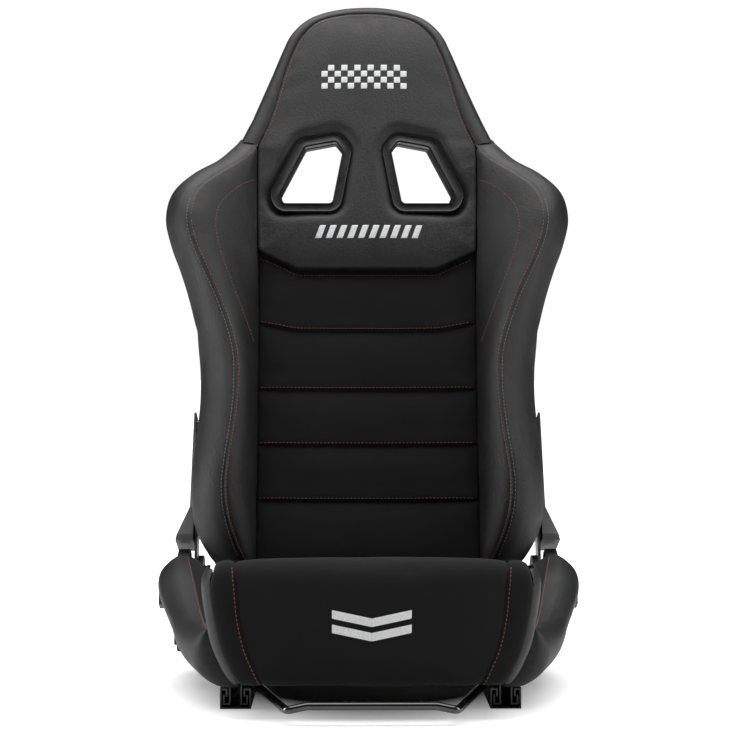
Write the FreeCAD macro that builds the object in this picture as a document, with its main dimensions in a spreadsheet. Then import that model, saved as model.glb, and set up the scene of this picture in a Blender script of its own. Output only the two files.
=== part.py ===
"""Reclining racing seat on slide rails, modelled in millimetres.

Frame: +X is the sitter's left as seen from the front (to the viewer's right), -Y is the way the
seat faces, +Z is up.  The origin is the middle of the four floor bolts, on the underside of the rails.
The backrest's pieces are drawn upright in a frame of their own, whose origin is the recliner's pivot,
and are then tilted back by the recline angle.  In that frame X is across, Y is rearward, Z is up the back.
"""
import FreeCAD
import Part
import math
import os
import re
import Sketcher

V = FreeCAD.Vector
SIDES = (("left", -1), ("right", 1))
X_AXIS, Y_AXIS, Z_AXIS = V(1, 0, 0), V(0, 1, 0), V(0, 0, 1)

DIMENSIONS = (
    # slide rails
    ("rail_spacing", 332), ("rail_length", 400), ("bolt_pitch", 340), ("rail_half", 19),
    ("rail_height", 25), ("rail_wall", 2), ("lip_reach", 9), ("lip_drop", 8), ("floor_bolt_radius", 4.3),
    ("web_half", 8), ("upper_top", 36), ("flange_under", 5), ("flange_half", 15.3), ("flange_up", 17.2),
    ("ball_radius", 2.4), ("ball_x", 14.5), ("ball_z", 20.3), ("ball_pitch", 36), ("ball_count", 5),
    ("slot_pitch", 8), ("slot_width", 4.6), ("slot_count", 26), ("first_slot", -192),
    # release bar of the rails
    ("bar_diameter", 10), ("bar_x", 140), ("bar_pivot_y", -60), ("bar_pivot_z", 29.5),
    ("journal_radius", 4), ("bar_corner_x", 100), ("bar_front_y", -334), ("bar_corner_z", 17.5),
    ("grip_bar_x", 76), ("grip_bar_z", 23),
    # base frame
    ("member_half", 13), ("member_height", 20), ("member_front", -200), ("member_back", 150),
    ("tube_radius", 11), ("tube_bore", 9), ("tube_z", 64), ("front_tube_y", -190), ("mid_tube_y", 10),
    ("rear_tube_y", 125), ("frame_half", 241),
    # recliner
    ("pivot_y", 160), ("pivot_z", 118), ("recline", 17), ("plate_wall", 4), ("arm_x", 236),
    ("plate_x", 241), ("pin_radius", 6), ("sector_radius", 36), ("tooth_depth", 2.6),
    ("tooth_step", 9), ("rod_y", 128), ("rod_z", 84), ("rod_radius", 5), ("pawl_y", 104),
    ("pawl_z", 96), ("cover_radius", 50), ("cover_x", 245.3), ("cover_depth", 16.5), ("leg_depth", 7),
    ("cover_wall", 2.2), ("arm_length", 236), ("arm_front", -14), ("arm_back", 32),
    ("lower_bolt", 160), ("upper_bolt", 216),
    # backrest
    ("pad_half", 152), ("pad_front", -55), ("pad_back", 4), ("pad_bottom", 12), ("pad_top", 498),
    ("shell_front", 5), ("shell_back", 41), ("shell_wall", 3), ("back_tube_radius", 11),
    ("back_tube_y", 18), ("back_tube_x", 205), ("hip_half", 238), ("waist_half", 228),
    ("shoulder_half", 283), ("head_half", 125), ("back_top", 864), ("ridge_reach", -132),
    ("bezel_width", 17), ("bezel_wall", 2.5), ("bezel_face", 6), ("slot_round", 11),
    ("slot_plane", -66), ("slot_lean", 0.36),
    # seat cushion
    ("cushion_half", 150), ("cushion_under", 80), ("roll_front", -302), ("roll_back", -223),
    ("roll_top", 187), ("roll_under", 40), ("roll_top_half", 199), ("roll_foot_half", 164),
    ("wing_back", 58), ("spring_wire", 3.4),
)

doc = FreeCAD.newDocument("racing_seat")
sheet = doc.addObject("Spreadsheet::Sheet", "Dimensions")
for row, (alias, number) in enumerate(DIMENSIONS, start=1):
    sheet.set(f"A{row}", alias)
    sheet.set(f"B{row}", str(number))
    sheet.setAlias(f"B{row}", alias)
doc.recompute()
ALIASES = {alias for alias, _ in DIMENSIONS}
NODES = []


# ---------------------------------------------------------------- reading the sheet
def bind(formula):
    """The formula with each cell's alias written as the document knows it."""
    return re.sub(r"[a-z_]+", lambda m: ("Dimensions." if m[0] in ALIASES else "") + m[0], str(formula))


def size(formula):
    """The number that a formula of the sheet's cells gives now."""
    return float(sheet.evalExpression(bind(formula)))


def node(thing, label):
    """Names a finished sub-part and puts it on the list of what is written out."""
    thing.Label = label
    NODES.append(thing)
    return thing


# ---------------------------------------------------------------- sketch based pieces
def plane_of(body, role):
    return next(f for f in body.Origin.OriginFeatures if f.Role == role)


def outline_sketch(body, role, corners, lift="0"):
    """A closed straight-sided sketch whose corners are formulas of the sheet."""
    sketch = body.newObject("Sketcher::SketchObject", "Outline")
    sketch.AttachmentSupport = (plane_of(body, role), [""])
    sketch.MapMode = "FlatFace"
    sketch.setExpression("AttachmentOffset.Base.z", bind(lift))
    spots = [V(size(x), size(y), 0) for x, y in corners]
    count = len(spots)
    sketch.addGeometry([Part.LineSegment(spots[i], spots[(i + 1) % count]) for i in range(count)], False)
    for i in range(count):
        sketch.addConstraint(Sketcher.Constraint("Coincident", i, 2, (i + 1) % count, 1))
    for i, corner in enumerate(corners):
        for kind, formula, number in zip(("DistanceX", "DistanceY"), corner, spots[i]):
            rule = sketch.addConstraint(Sketcher.Constraint(kind, -1, 1, i, 1, number))
            sketch.setExpression(f"Constraints[{rule}]", bind(formula))
    return sketch


def circle_sketch(body, role, centres, radius, lift="0"):
    """Circles of one radius about centres given as formulas."""
    sketch = body.newObject("Sketcher::SketchObject", "Circles")
    sketch.AttachmentSupport = (plane_of(body, role), [""])
    sketch.MapMode = "FlatFace"
    sketch.setExpression("AttachmentOffset.Base.z", bind(lift))
    for i, centre in enumerate(centres):
        spot = V(size(centre[0]), size(centre[1]), 0)
        sketch.addGeometry(Part.Circle(spot, Z_AXIS, size(radius)), False)
        rule = sketch.addConstraint(Sketcher.Constraint("Radius", i, size(radius)))
        sketch.setExpression(f"Constraints[{rule}]", bind(radius))
        for kind, formula, number in zip(("DistanceX", "DistanceY"), centre, spot):
            rule = sketch.addConstraint(Sketcher.Constraint(kind, -1, 1, i, 3, number))
            sketch.setExpression(f"Constraints[{rule}]", bind(formula))
    return sketch


def new_body(label):
    return node(doc.addObject("PartDesign::Body", "Body"), label)


def pad(body, sketch, length, backwards=False):
    feature = body.newObject("PartDesign::Pad", "Pad")
    feature.Profile = sketch
    feature.setExpression("Length", bind(length))
    feature.Reversed = backwards
    doc.recompute()
    return feature


def pocket(body, sketch):
    """Cuts the sketch through the whole body both ways, and makes sure that something was cut."""
    before = body.Shape.Volume
    feature = body.newObject("PartDesign::Pocket", "Pocket")
    feature.Profile = sketch
    feature.Type = "ThroughAll"
    feature.Midplane = True
    doc.recompute()
    if body.Shape.Volume > before - 1:
        raise ValueError(f"{body.Label}: the pocket cut nothing")
    return feature


def fillet(body, radius, wanted):
    """Rounds the edges of the body's last feature that wanted() picks."""
    base = body.Tip
    names = [f"Edge{i}" for i, edge in enumerate(base.Shape.Edges, start=1) if wanted(edge)]
    feature = body.newObject("PartDesign::Fillet", "Fillet")
    feature.Base = (base, names)
    feature.Radius = radius
    doc.recompute()
    return feature


def along(edge, axis):
    """True for a straight edge that runs along the axis."""
    if not isinstance(edge.Curve, Part.Line):
        return False
    return abs(abs(edge.tangentAt(edge.FirstParameter).dot(axis)) - 1) < 1e-6


def place(thing, x="0", y="0", z="0"):
    for axis, formula in zip("xyz", (x, y, z)):
        thing.setExpression(f"Placement.Base.{axis}", bind(formula))
    return thing


def tilt(thing):
    """Sets a piece drawn in the backrest's own frame on the pivot, leaning back."""
    thing.Placement = FreeCAD.Placement(V(0, 0, 0), FreeCAD.Rotation(X_AXIS, -size("recline")))
    thing.setExpression("Placement.Rotation.Angle", bind("-recline"))
    return place(thing, "0", "pivot_y", "pivot_z")


def plate(label, corners, start, length, holes=()):
    """A flat piece in the YZ plane: corners are (y, z) formulas, and holes are (y, z, radius)."""
    body = new_body(label)
    pad(body, outline_sketch(body, "YZ_Plane", corners, start), length)
    for y, z, radius in holes:
        pocket(body, circle_sketch(body, "YZ_Plane", [(y, z)], radius, start))
    return body


def loft(label, role, sections, ruled=False):
    """A soft piece lofted through straight-sided sections, each given as (lift, corners)."""
    body = new_body(label)
    sketches = [outline_sketch(body, role, corners, lift) for lift, corners in sections]
    feature = body.newObject("PartDesign::AdditiveLoft", "Loft")
    feature.Profile = sketches[0]
    feature.Sections = sketches[1:]
    feature.Ruled = ruled
    doc.recompute()
    return body


# ---------------------------------------------------------------- shapes made by Part's functions
def shaped(label, shape):
    """A feature whose shape is already where it belongs, with the feature's own Placement at zero."""
    moved = shape.Placement.toMatrix()
    shape.Placement = FreeCAD.Placement()
    feature = doc.addObject("Part::Feature", "Shape")
    feature.Shape = shape.transformed(moved, True)
    return node(feature, label)


def rounded_wire(points, radius, closed=False):
    """Straight runs through the points, joined by tangent arcs of the radius."""
    count = len(points)
    inner = range(count) if closed else range(1, count - 1)
    cuts = {}
    for i in inner:
        here = points[i]
        back = (points[i - 1] - here).normalize()
        ahead = (points[(i + 1) % count] - here).normalize()
        half = back.getAngle(ahead) / 2
        reach = radius / math.tan(half)
        middle = here + (back + ahead).normalize() * (radius / math.sin(half) - radius)
        cuts[i] = (here + back * reach, middle, here + ahead * reach)
    edges = []
    for i in range(count if closed else count - 1):
        j = (i + 1) % count
        start = cuts[i][2] if i in cuts else points[i]
        end = cuts[j][0] if j in cuts else points[j]
        edges.append(Part.LineSegment(start, end).toShape())
        if j in cuts:
            edges.append(Part.Arc(*cuts[j]).toShape())
    return Part.Wire(edges)


def rod(points, bend, radius):
    """A round bar bent along the points."""
    path = rounded_wire(points, bend)
    profile = Part.Wire(Part.makeCircle(radius, points[0], points[1] - points[0]))
    return path.makePipeShell([profile], True, True)


def slab(points, radius, direction):
    """A flat outline with rounded corners, extruded along the direction."""
    return Part.Face(rounded_wire(points, radius, closed=True)).extrude(direction)


def cylinder_x(x, y, z, radius, length):
    return Part.makeCylinder(radius, length, V(x, y, z), X_AXIS)


def hex_head(centre, axis, radius, height):
    """A six-sided bolt head or nut standing on its centre."""
    ring = Part.makePolygon([V(radius * math.cos(math.radians(60 * i)),
                               radius * math.sin(math.radians(60 * i)), 0) for i in range(7)])
    head = Part.Face(ring).extrude(V(0, 0, height))
    head.Placement = FreeCAD.Placement(centre, FreeCAD.Rotation(Z_AXIS, axis))
    return head


def mirrored(shape, sign):
    return shape if sign > 0 else shape.mirror(V(0, 0, 0), X_AXIS)


# ---------------------------------------------------------------- slide rails
def lower_rail(side, sign):
    """The fixed channel: a flat floor, two walls and lips that turn in and down."""
    body = new_body(f"lower_rail_{side}")
    half = [("rail_half", "0"), ("rail_half", "rail_height"),
            ("rail_half - lip_reach", "rail_height"),
            ("rail_half - lip_reach", "rail_height - rail_wall - lip_drop"),
            ("rail_half - lip_reach + rail_wall", "rail_height - rail_wall - lip_drop"),
            ("rail_half - lip_reach + rail_wall", "rail_height - rail_wall"),
            ("rail_half - rail_wall", "rail_height - rail_wall"),
            ("rail_half - rail_wall", "rail_wall")]
    corners = half + [(f"-({x})", z) for x, z in reversed(half)]
    pad(body, outline_sketch(body, "XZ_Plane", corners, "-rail_length / 2"), "rail_length")
    ends = [("0", f"{end} * bolt_pitch / 2") for end in (-1, 1)]
    pocket(body, circle_sketch(body, "XY_Plane", ends, "floor_bolt_radius"))
    latch_slots(body, sign)
    return place(body, f"{sign} * rail_spacing / 2")


def latch_slots(body, sign):
    """The row of slots in the rail's inboard lip that the latch's teeth drop into."""
    near, far = "first_slot - slot_width / 2", "first_slot + slot_width / 2"
    inner, outer = f"{-sign} * (rail_half - rail_wall - 3.8)", f"{-sign} * (rail_half - rail_wall)"
    slot = body.newObject("PartDesign::Pocket", "LatchSlot")
    corners = [(inner, near), (outer, near), (outer, far), (inner, far)]
    slot.Profile = outline_sketch(body, "XY_Plane", corners, "rail_height")
    slot.setExpression("Length", bind("rail_wall + 0.5"))
    doc.recompute()
    before = slot.Shape.Volume
    row = body.newObject("PartDesign::LinearPattern", "SlotRow")
    row.Originals = [slot]
    row.Direction = (plane_of(body, "Y_Axis"), [""])
    row.setExpression("Occurrences", bind("slot_count"))
    row.setExpression("Length", bind("slot_pitch * (slot_count - 1)"))
    body.Tip = row
    doc.recompute()
    if row.Shape.Volume > before - 1:
        raise ValueError(f"{body.Label}: the row of slots cut nothing")


def upper_rail(side, sign):
    """The sliding channel: a narrow box with feet that turn out and up under the lips."""
    body = new_body(f"upper_rail_{side}")
    half = [("web_half - rail_wall", "flange_under"), ("flange_half", "flange_under"),
            ("flange_half", "flange_up"), ("flange_half - rail_wall", "flange_up"),
            ("flange_half - rail_wall", "flange_under + rail_wall"),
            ("web_half", "flange_under + rail_wall"), ("web_half", "upper_top")]
    left = [(f"-({x})", z) for x, z in reversed(half)]
    roof = [("-(web_half - rail_wall)", "upper_top - rail_wall"),
            ("web_half - rail_wall", "upper_top - rail_wall")]
    corners = half + left + roof
    pad(body, outline_sketch(body, "XZ_Plane", corners, "-rail_length / 2"), "rail_length")
    bolts = [("0", "-150"), ("0", "100")]
    sketch = circle_sketch(body, "XY_Plane", bolts, "journal_radius + 0.2", "upper_top - rail_wall")
    pocket(body, sketch)
    pocket(body, circle_sketch(body, "YZ_Plane", [("bar_pivot_y", "bar_pivot_z")],
                               "journal_radius + 0.08"))
    return place(body, f"{sign} * rail_spacing / 2")


def ball_spots():
    """Where the balls of one rail stand, from the rail's own middle."""
    count = int(size("ball_count"))
    for wall in (-1, 1):
        for i in range(count):
            y = (i - (count - 1) / 2) * size("ball_pitch")
            yield V(wall * size("ball_x"), y, size("ball_z"))


def ball_race(side, sign):
    """The rolling balls of one rail, and the two slotted strips that keep them apart."""
    middle = V(sign * size("rail_spacing / 2"), 0, 0)
    balls = [Part.makeSphere(size("ball_radius"), middle + spot) for spot in ball_spots()]
    shaped(f"rail_balls_{side}", Part.makeCompound(balls))
    length = size("ball_pitch * ball_count")
    strips = []
    for wall in (-1, 1):
        corner = middle + V(wall * size("ball_x") - 0.6, -length / 2, size("ball_z") - 1.9)
        strip = Part.makeBox(1.2, length, 3.8, corner)
        for spot in ball_spots():
            if spot.x * wall > 0:
                strip = strip.cut(Part.makeSphere(size("ball_radius + 0.1"), middle + spot))
        strips.extend(strip.Solids)
    shaped(f"ball_cage_{side}", Part.makeCompound(strips))


# ---------------------------------------------------------------- rail release
def release_bar():
    """The bent bar that the driver lifts: two arms, a dropped corner each side and a raised grip."""
    half = [("rail_spacing / 2 - web_half + 4", "bar_pivot_y", "bar_pivot_z"),
            ("bar_x", "bar_pivot_y", "bar_pivot_z"), ("bar_x", "-185", "bar_pivot_z - 2"),
            ("bar_corner_x", "bar_front_y + 4", "bar_corner_z"),
            ("grip_bar_x", "bar_front_y", "grip_bar_z")]
    right = [V(*(size(formula) for formula in point)) for point in half]
    left = [V(-p.x, p.y, p.z) for p in reversed(right)]
    bar = rod(right[1:] + left[:-1], 10, size("bar_diameter / 2"))
    for sign in (-1, 1):
        inner = size("bar_x - 1")
        stub = cylinder_x(inner, size("bar_pivot_y"), size("bar_pivot_z"), size("journal_radius"),
                          size("rail_spacing / 2 - web_half + 4") - inner)
        bar = bar.fuse(mirrored(stub, sign))
    shaped("release_bar", bar.removeSplitter())


def latch_plate(side, sign):
    """The toothed plate on each end of the bar.  Its teeth stand over the slots of the rail's lip."""
    start = "rail_spacing / 2 - rail_half + 2" if sign > 0 else "-(rail_spacing / 2 - rail_half + 2) - 3"
    top = "bar_pivot_z + 6"
    corners = [("bar_pivot_y + 7", "bar_pivot_z - 3.6"), ("bar_pivot_y + 7", top), ("-118", top),
               ("-118", "rail_height + 3.5")]
    for y in (-112, -104, -96):
        corners += [(str(y - 2), "rail_height + 3.5"), (str(y - 1.5), "rail_height + 0.6"),
                    (str(y + 1.5), "rail_height + 0.6"), (str(y + 2), "rail_height + 3.5")]
    corners += [("-90", "rail_height + 3.5"), ("bar_pivot_y - 7", "bar_pivot_z - 3.6")]
    plate(f"latch_plate_{side}", corners, start, "3",
          [("bar_pivot_y", "bar_pivot_z", "journal_radius + 0.02")])


def latch_spring(side, sign):
    """A wire clip looped round the bar's journal, which turns the latch plate down on the rail."""
    wire, loop = 0.5, 5.4
    centre = V(size("rail_spacing / 2 - web_half") - 0.9, size("bar_pivot_y"), size("bar_pivot_z"))
    spring = Part.makeTorus(loop, wire, centre, X_AXIS)
    for rise, direction, length in ((loop, -1, 36), (-loop, 1, 20)):
        spring = spring.fuse(Part.makeCylinder(wire, length, centre + V(0, 0, rise), V(0, direction, 0)))
    shaped(f"latch_spring_{side}", mirrored(spring, sign))


# ---------------------------------------------------------------- base frame
def hollow_tube(start, direction, length, radius, bore):
    outer = Part.makeCylinder(radius, length, start, direction)
    return outer.cut(Part.makeCylinder(bore, length, start, direction))


def base_frame():
    """The welded frame: a box member on each rail and three cross tubes with threaded ends."""
    radius, bore, z = size("tube_radius"), size("tube_bore"), size("tube_z")
    long_half, short_half = size("frame_half"), size("rail_spacing / 2 + 6")
    length = size("member_back - member_front")
    frame, bores = None, []
    for _, sign in SIDES:
        x, front = sign * size("rail_spacing / 2"), size("member_front")
        half, height, foot = size("member_half"), size("member_height"), size("upper_top")
        member = Part.makeBox(2 * half, length, height, V(x - half, front, foot))
        hollow = Part.makeBox(2 * half - 4, length, height - 4, V(x - half + 2, front, foot + 2))
        for y in (-150, 100):
            bores.append(Part.makeCylinder(size("journal_radius + 0.2"), 6, V(x, y, foot - 2)))
        member = member.cut(hollow)
        frame = member if frame is None else frame.fuse(member)
    tubes = (("front_tube_y", short_half), ("mid_tube_y", long_half), ("rear_tube_y", long_half))
    for formula, reach in tubes:
        y = size(formula)
        frame = frame.fuse(Part.makeCylinder(radius, 2 * reach, V(-reach, y, z), X_AXIS))
        plug = 24 if reach == long_half else 0
        bores.append(Part.makeCylinder(bore, 2 * (reach - plug), V(plug - reach, y, z), X_AXIS))
        bores.append(Part.makeCylinder(4.9, 2 * reach, V(-reach, y, z), X_AXIS))
    for hole in bores:
        frame = frame.cut(hole)
    shaped("base_frame", frame.removeSplitter())


def rail_bolts():
    """Cap screws that hold the frame's members on the upper rails, with their nuts."""
    fasteners = []
    for _, sign in SIDES:
        for y in (-150, 100):
            x, top = sign * size("rail_spacing / 2"), size("upper_top")
            head = Part.makeCylinder(5.5, 5, V(x, y, top - 7))
            shank = Part.makeCylinder(4, 16, V(x, y, top - 7))
            nut = hex_head(V(x, y, top + 2), Z_AXIS, 7.2, 6)
            fasteners.append(head.fuse(shank).fuse(nut).removeSplitter())
    shaped("rail_bolts", Part.makeCompound(fasteners))


def zigzag(start, step, swing, turns):
    """Points of a flat zigzag that advances by step and swings to each side."""
    points = [start]
    for i in range(turns):
        side = 1 if i % 2 == 0 else -1
        points.append(start + step * (i + 0.5) + swing * side)
        points.append(start + step * (i + 1.0) + swing * side)
    points.append(start + step * (turns + 0.5))
    return points


def seat_springs():
    """Four zigzag wires slung from the front tube to the rear tube."""
    front, rear = size("front_tube_y"), size("rear_tube_y")
    turns, height = 13, size("tube_z + tube_radius + spring_wire / 2") + 0.1
    step = V(0, (rear - front) / (turns + 0.5), 0)
    wires = []
    for x in (-112, -38, 38, 112):
        points = zigzag(V(x, front, height), step, V(17, 0, 0), turns)
        wires.append(rod(points, 5.5, size("spring_wire / 2")))
    shaped("seat_springs", Part.makeCompound(wires))


def front_pan():
    """The pressed steel lip that carries the front roll."""
    body = new_body("front_pan")
    corners = [("-195", "51"), ("-272", "51"), ("-272", "41"), ("-274", "41"), ("-274", "53"), ("-195", "53")]
    pad(body, outline_sketch(body, "YZ_Plane", corners, "-140"), "280")


# ---------------------------------------------------------------- seat cushion
def cushion_center():
    """The sitting pad between the wings, which drops towards the back."""
    corners = [("roll_back + 1", "cushion_under"), ("roll_back + 1", "176"), ("-170", "156"), ("-110", "134"),
               ("-20", "120"), ("100", "113"), ("112", "108"), ("114", "cushion_under")]
    plate("cushion_center", corners, "-cushion_half", "2 * cushion_half")


def front_roll():
    """The deep roll at the front edge, wider at the top than at the foot."""
    body = new_body("cushion_front_roll")
    top, under = "roll_top", "roll_under"
    corners = [("-roll_foot_half", under), ("roll_foot_half", under), ("roll_top_half - 3", "140"),
               ("roll_top_half", "165"), ("roll_top_half - 8", "roll_top - 8"),
               ("roll_top_half - 22", top), ("22 - roll_top_half", top),
               ("8 - roll_top_half", "roll_top - 8"), ("-roll_top_half", "165"),
               ("3 - roll_top_half", "140")]
    pad(body, outline_sketch(body, "XZ_Plane", corners, "-roll_back"), "roll_back - roll_front")
    fillet(body, 24, lambda e: along(e, X_AXIS) and e.BoundBox.ZMin > size("roll_top") - 1
           and e.BoundBox.YMax < size("roll_front") + 1)
    recess = [("-276", "0"), ("-276", "56"), ("-200", "56"), ("-200", "0")]
    slot = body.newObject("PartDesign::Pocket", "Recess")
    slot.Profile = outline_sketch(body, "YZ_Plane", recess, "0")
    slot.Type = "ThroughAll"
    slot.Midplane = True
    doc.recompute()


def wing(side, sign):
    """The thigh wing: low and rounded at the front, flaring out and up towards the back.

    Each station lists its section from the inner foot, up the inner wall, over the ridge and the crown,
    and down the outer side.  The front stations reach down beside the rail.
    """
    stations = (
        (-215, ((152, 78), (152, 150), (176, 140), (198, 103), (206, 96), (213, 76), (208, 52), (196, 38),
                (183, 28), (161, 29))),
        (-201, ((152, 78), (152, 148), (178, 136), (201, 106), (211, 99), (220, 78), (216, 56), (203, 41),
                (186, 30), (186, 78))),
        (-150, ((152, 78), (152, 134), (180, 122), (208, 111), (226, 105), (239, 86), (233, 64), (215, 46),
                (190, 38), (186, 78))),
        (-100, ((152, 78), (152, 120), (184, 115), (215, 121), (235, 118), (250, 101), (245, 80), (228, 62),
                (200, 56), (188, 78))),
        (-50, ((152, 80), (152, 112), (188, 116), (223, 138), (245, 135), (262, 117), (258, 101), (242, 95),
               (205, 92), (190, 83))),
        (0, ((152, 80), (152, 108), (190, 121), (231, 156), (252, 154), (272, 135), (270, 112), (256, 97),
             (210, 94), (195, 85))),
        (58, ((152, 80), (152, 104), (192, 127), (239, 168), (257, 167), (278, 146), (277, 118), (262, 99),
              (214, 96), (198, 85))),
    )
    sections = []
    for lift, points in stations:
        sections.append((str(-lift), [(f"{sign * x}", str(z)) for x, z in points]))
    loft(f"cushion_wing_{side}", "XZ_Plane", sections, True)


# ---------------------------------------------------------------- recliner
def toothed_disc(radius, first, last):
    """Corners of the recliner's sector, in the backrest's own frame, with teeth from first to last degree."""
    step, depth = size("tooth_step"), size("tooth_depth")
    points = []
    for i in range(int((last - first) / step)):
        root = math.radians(first + i * step)
        for share, reach in ((0.1, radius - depth), (0.38, radius), (0.62, radius), (0.9, radius - depth)):
            angle = root + math.radians(step * share)
            points.append(V(0, reach * math.cos(angle), reach * math.sin(angle)))
    return points


def recliner_arm(side, sign):
    """The steel arm of the backrest.  Its foot is a toothed sector about the pivot."""
    wall = V(size("plate_wall"), 0, 0)
    front, back, top = size("arm_front"), size("arm_back"), size("arm_length")
    foot = toothed_disc(size("sector_radius"), 110, 340)
    sector = Part.Face(Part.makePolygon(foot + foot[:1])).extrude(wall)
    bar = slab([V(0, front, 4), V(0, back, 4), V(0, back, top), V(0, front + 8, top)], 3.9, wall)
    arm = sector.fuse(Part.makeCylinder(30, wall.x, V(0, 0, 0), X_AXIS)).fuse(bar)
    holes = [(0, 0, size("pin_radius + 0.05"))]
    holes += [(size("back_tube_y"), size(height), 4.2) for height in ("lower_bolt", "upper_bolt")]
    for y, z, radius in holes:
        arm = arm.cut(Part.makeCylinder(radius, wall.x, V(0, y, z), X_AXIS))
    arm.translate(V(size("arm_x"), 0, 0))
    tilt(shaped(f"recliner_arm_{side}", mirrored(arm.removeSplitter(), sign)))


def base_plate(side, sign):
    """The steel plate that joins the two long cross tubes and carries the pivot, the rod and the pawl."""
    points = [(-10, 46), (146, 46), (196, 100), (196, 136), (176, 150), (140, 150), (98, 114), (70, 84),
              (-10, 84)]
    plate_shape = slab([V(0, y, z) for y, z in points], 10, V(size("plate_wall"), 0, 0))
    holes = [("pivot_y", "pivot_z", "pin_radius + 0.01"), ("rod_y", "rod_z", "rod_radius + 0.06"),
             ("pawl_y", "pawl_z", "4.01"), ("mid_tube_y", "tube_z", "5.1"), ("rear_tube_y", "tube_z", "5.1")]
    holes += [(str(y), str(z), "2.05") for (y, z), _ in cover_screw_spots()]
    for y, z, radius in holes:
        drill = Part.makeCylinder(size(radius), size("plate_wall"), V(0, size(y), size(z)), X_AXIS)
        plate_shape = plate_shape.cut(drill)
    plate_shape.translate(V(size("plate_x"), 0, 0))
    shaped(f"base_plate_{side}", mirrored(plate_shape, sign))


def base_plate_bolts():
    """Hexagon bolts that hold the base plates on the tube ends."""
    bolts = []
    for _, sign in SIDES:
        for formula in ("mid_tube_y", "rear_tube_y"):
            face = size("plate_x + plate_wall")
            spot = V(face, size(formula), size("tube_z"))
            shank = Part.makeCylinder(4.85, 24, V(face - 24, spot.y, spot.z), X_AXIS)
            bolts.append(mirrored(hex_head(spot, X_AXIS, 9, 4).fuse(shank).removeSplitter(), sign))
    shaped("base_plate_bolts", Part.makeCompound(bolts))


def pivot_pin(side, sign):
    """The shoulder bolt that the backrest turns on."""
    y, z, radius = size("pivot_y"), size("pivot_z"), size("pin_radius")
    shank = cylinder_x(size("arm_x - 1.2"), y, z, radius, size("plate_x + plate_wall - arm_x") + 8.5)
    head = cylinder_x(size("arm_x - 5.2"), y, z, 10, 4)
    shaped(f"pivot_pin_{side}", mirrored(head.fuse(shank).removeSplitter(), sign))


def pivot_cap(side, sign):
    """The stepped inner trim cup over the head of the pivot bolt."""
    y, z, radius, knob, wall = size("pivot_y"), size("pivot_z"), 41, 27, 2
    inner = size("arm_x - 9.5")
    cup = cylinder_x(inner, y, z, radius, 8).fuse(cylinder_x(inner - 6, y, z, knob, 6))
    cup = cup.cut(cylinder_x(inner + wall, y, z, radius - wall, 6))
    cup = cup.cut(cylinder_x(inner + wall - 6, y, z, knob - wall, 6))
    cup = cup.fuse(cylinder_x(inner + wall - 6, y, z, 7, 8.3)).removeSplitter()
    shaped(f"pivot_cap_{side}", mirrored(cup, sign))


def recliner_spring(side, sign):
    """The flat spiral that helps the backrest up, three and a half turns about the pin."""
    inner, pitch, wall, width, turns = 7.5, 4.8, 1.8, 4.5, 3.5
    steps = 14
    spirals = []
    for grow in (0, wall):
        points = []
        for i in range(int(turns * steps) + 1):
            angle = 2 * math.pi * i / steps
            reach = inner + grow + pitch * i / steps
            points.append(V(0, reach * math.cos(angle), reach * math.sin(angle)))
        curve = Part.BSplineCurve()
        curve.interpolate(points)
        spirals.append((curve.toShape(), points))
    (first, a), (second, b) = spirals
    ends = [Part.LineSegment(a[-1], b[-1]).toShape(), Part.LineSegment(b[0], a[0]).toShape()]
    coil = Part.Face(Part.Wire(Part.__sortEdges__([first, ends[0], second, ends[1]])))
    coil = coil.extrude(V(width, 0, 0))
    coil.translate(V(size("plate_x + plate_wall") + 1.2, size("pivot_y"), size("pivot_z")))
    shaped(f"recliner_spring_{side}", mirrored(coil, sign))


def hub_outline(radius):
    """The round part of the outer hinge cover, with its flat run down to the leg."""
    y, z = size("pivot_y"), size("pivot_z")
    ring = [V(0, y + radius * math.cos(math.radians(angle)), z + radius * math.sin(math.radians(angle)))
            for angle in range(-60, 121, 30)]
    return ring + [V(0, 93, 128), V(0, 74, 84), V(0, 74, 45), V(0, 150, 45)]


def leg_outline():
    """The flat leg of the cover, which hides the front bolt."""
    return [V(0, 100, 84), V(0, -14, 84), V(0, -14, 60), V(0, -2, 46), V(0, 100, 46)]


def tray(outline, depth, wall, corner):
    """A shallow moulding of one outline, with rounded corners, open on its inner side."""
    ring = rounded_wire(outline, corner, closed=True)
    block = Part.Face(ring).extrude(V(depth, 0, 0))
    block = block.makeFillet(2, [e for e in block.Edges if e.BoundBox.XMin > depth - 0.01])
    return block, Part.Face(ring.makeOffset2D(-wall)).extrude(V(depth - wall, 0, 0))


def hinge_cover(side, sign):
    """The moulded outer cover of the recliner, a shell that is open towards the base plate."""
    depth, wall = size("cover_depth"), size("cover_wall")
    hub, hub_room = tray(hub_outline(size("cover_radius")), depth, wall, 4)
    leg, leg_room = tray(leg_outline(), size("leg_depth"), wall, 4)
    shell = hub.fuse(leg).cut(hub_room).cut(leg_room)
    rod_hole = Part.makeCylinder(size("rod_radius + 0.6"), depth, V(0, size("rod_y"), size("rod_z")), X_AXIS)
    shell = shell.cut(rod_hole)
    for spot, face in cover_screw_spots():
        length = face - size("cover_x")
        boss = Part.makeCylinder(4.5, length - 0.2, V(0, spot[0], spot[1]), X_AXIS)
        drill = Part.makeCylinder(2.2, depth, V(0, spot[0], spot[1]), X_AXIS)
        shell = shell.fuse(boss).cut(drill)
    shell.translate(V(size("cover_x"), 0, 0))
    shaped(f"hinge_cover_{side}", mirrored(shell.removeSplitter(), sign))


def cover_screw_spots():
    """Each cover screw as its (y, z) and the x of the face that its head bears on."""
    return (((34, 66), size("cover_x + leg_depth")), ((168, 87), size("cover_x + cover_depth")))


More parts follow.
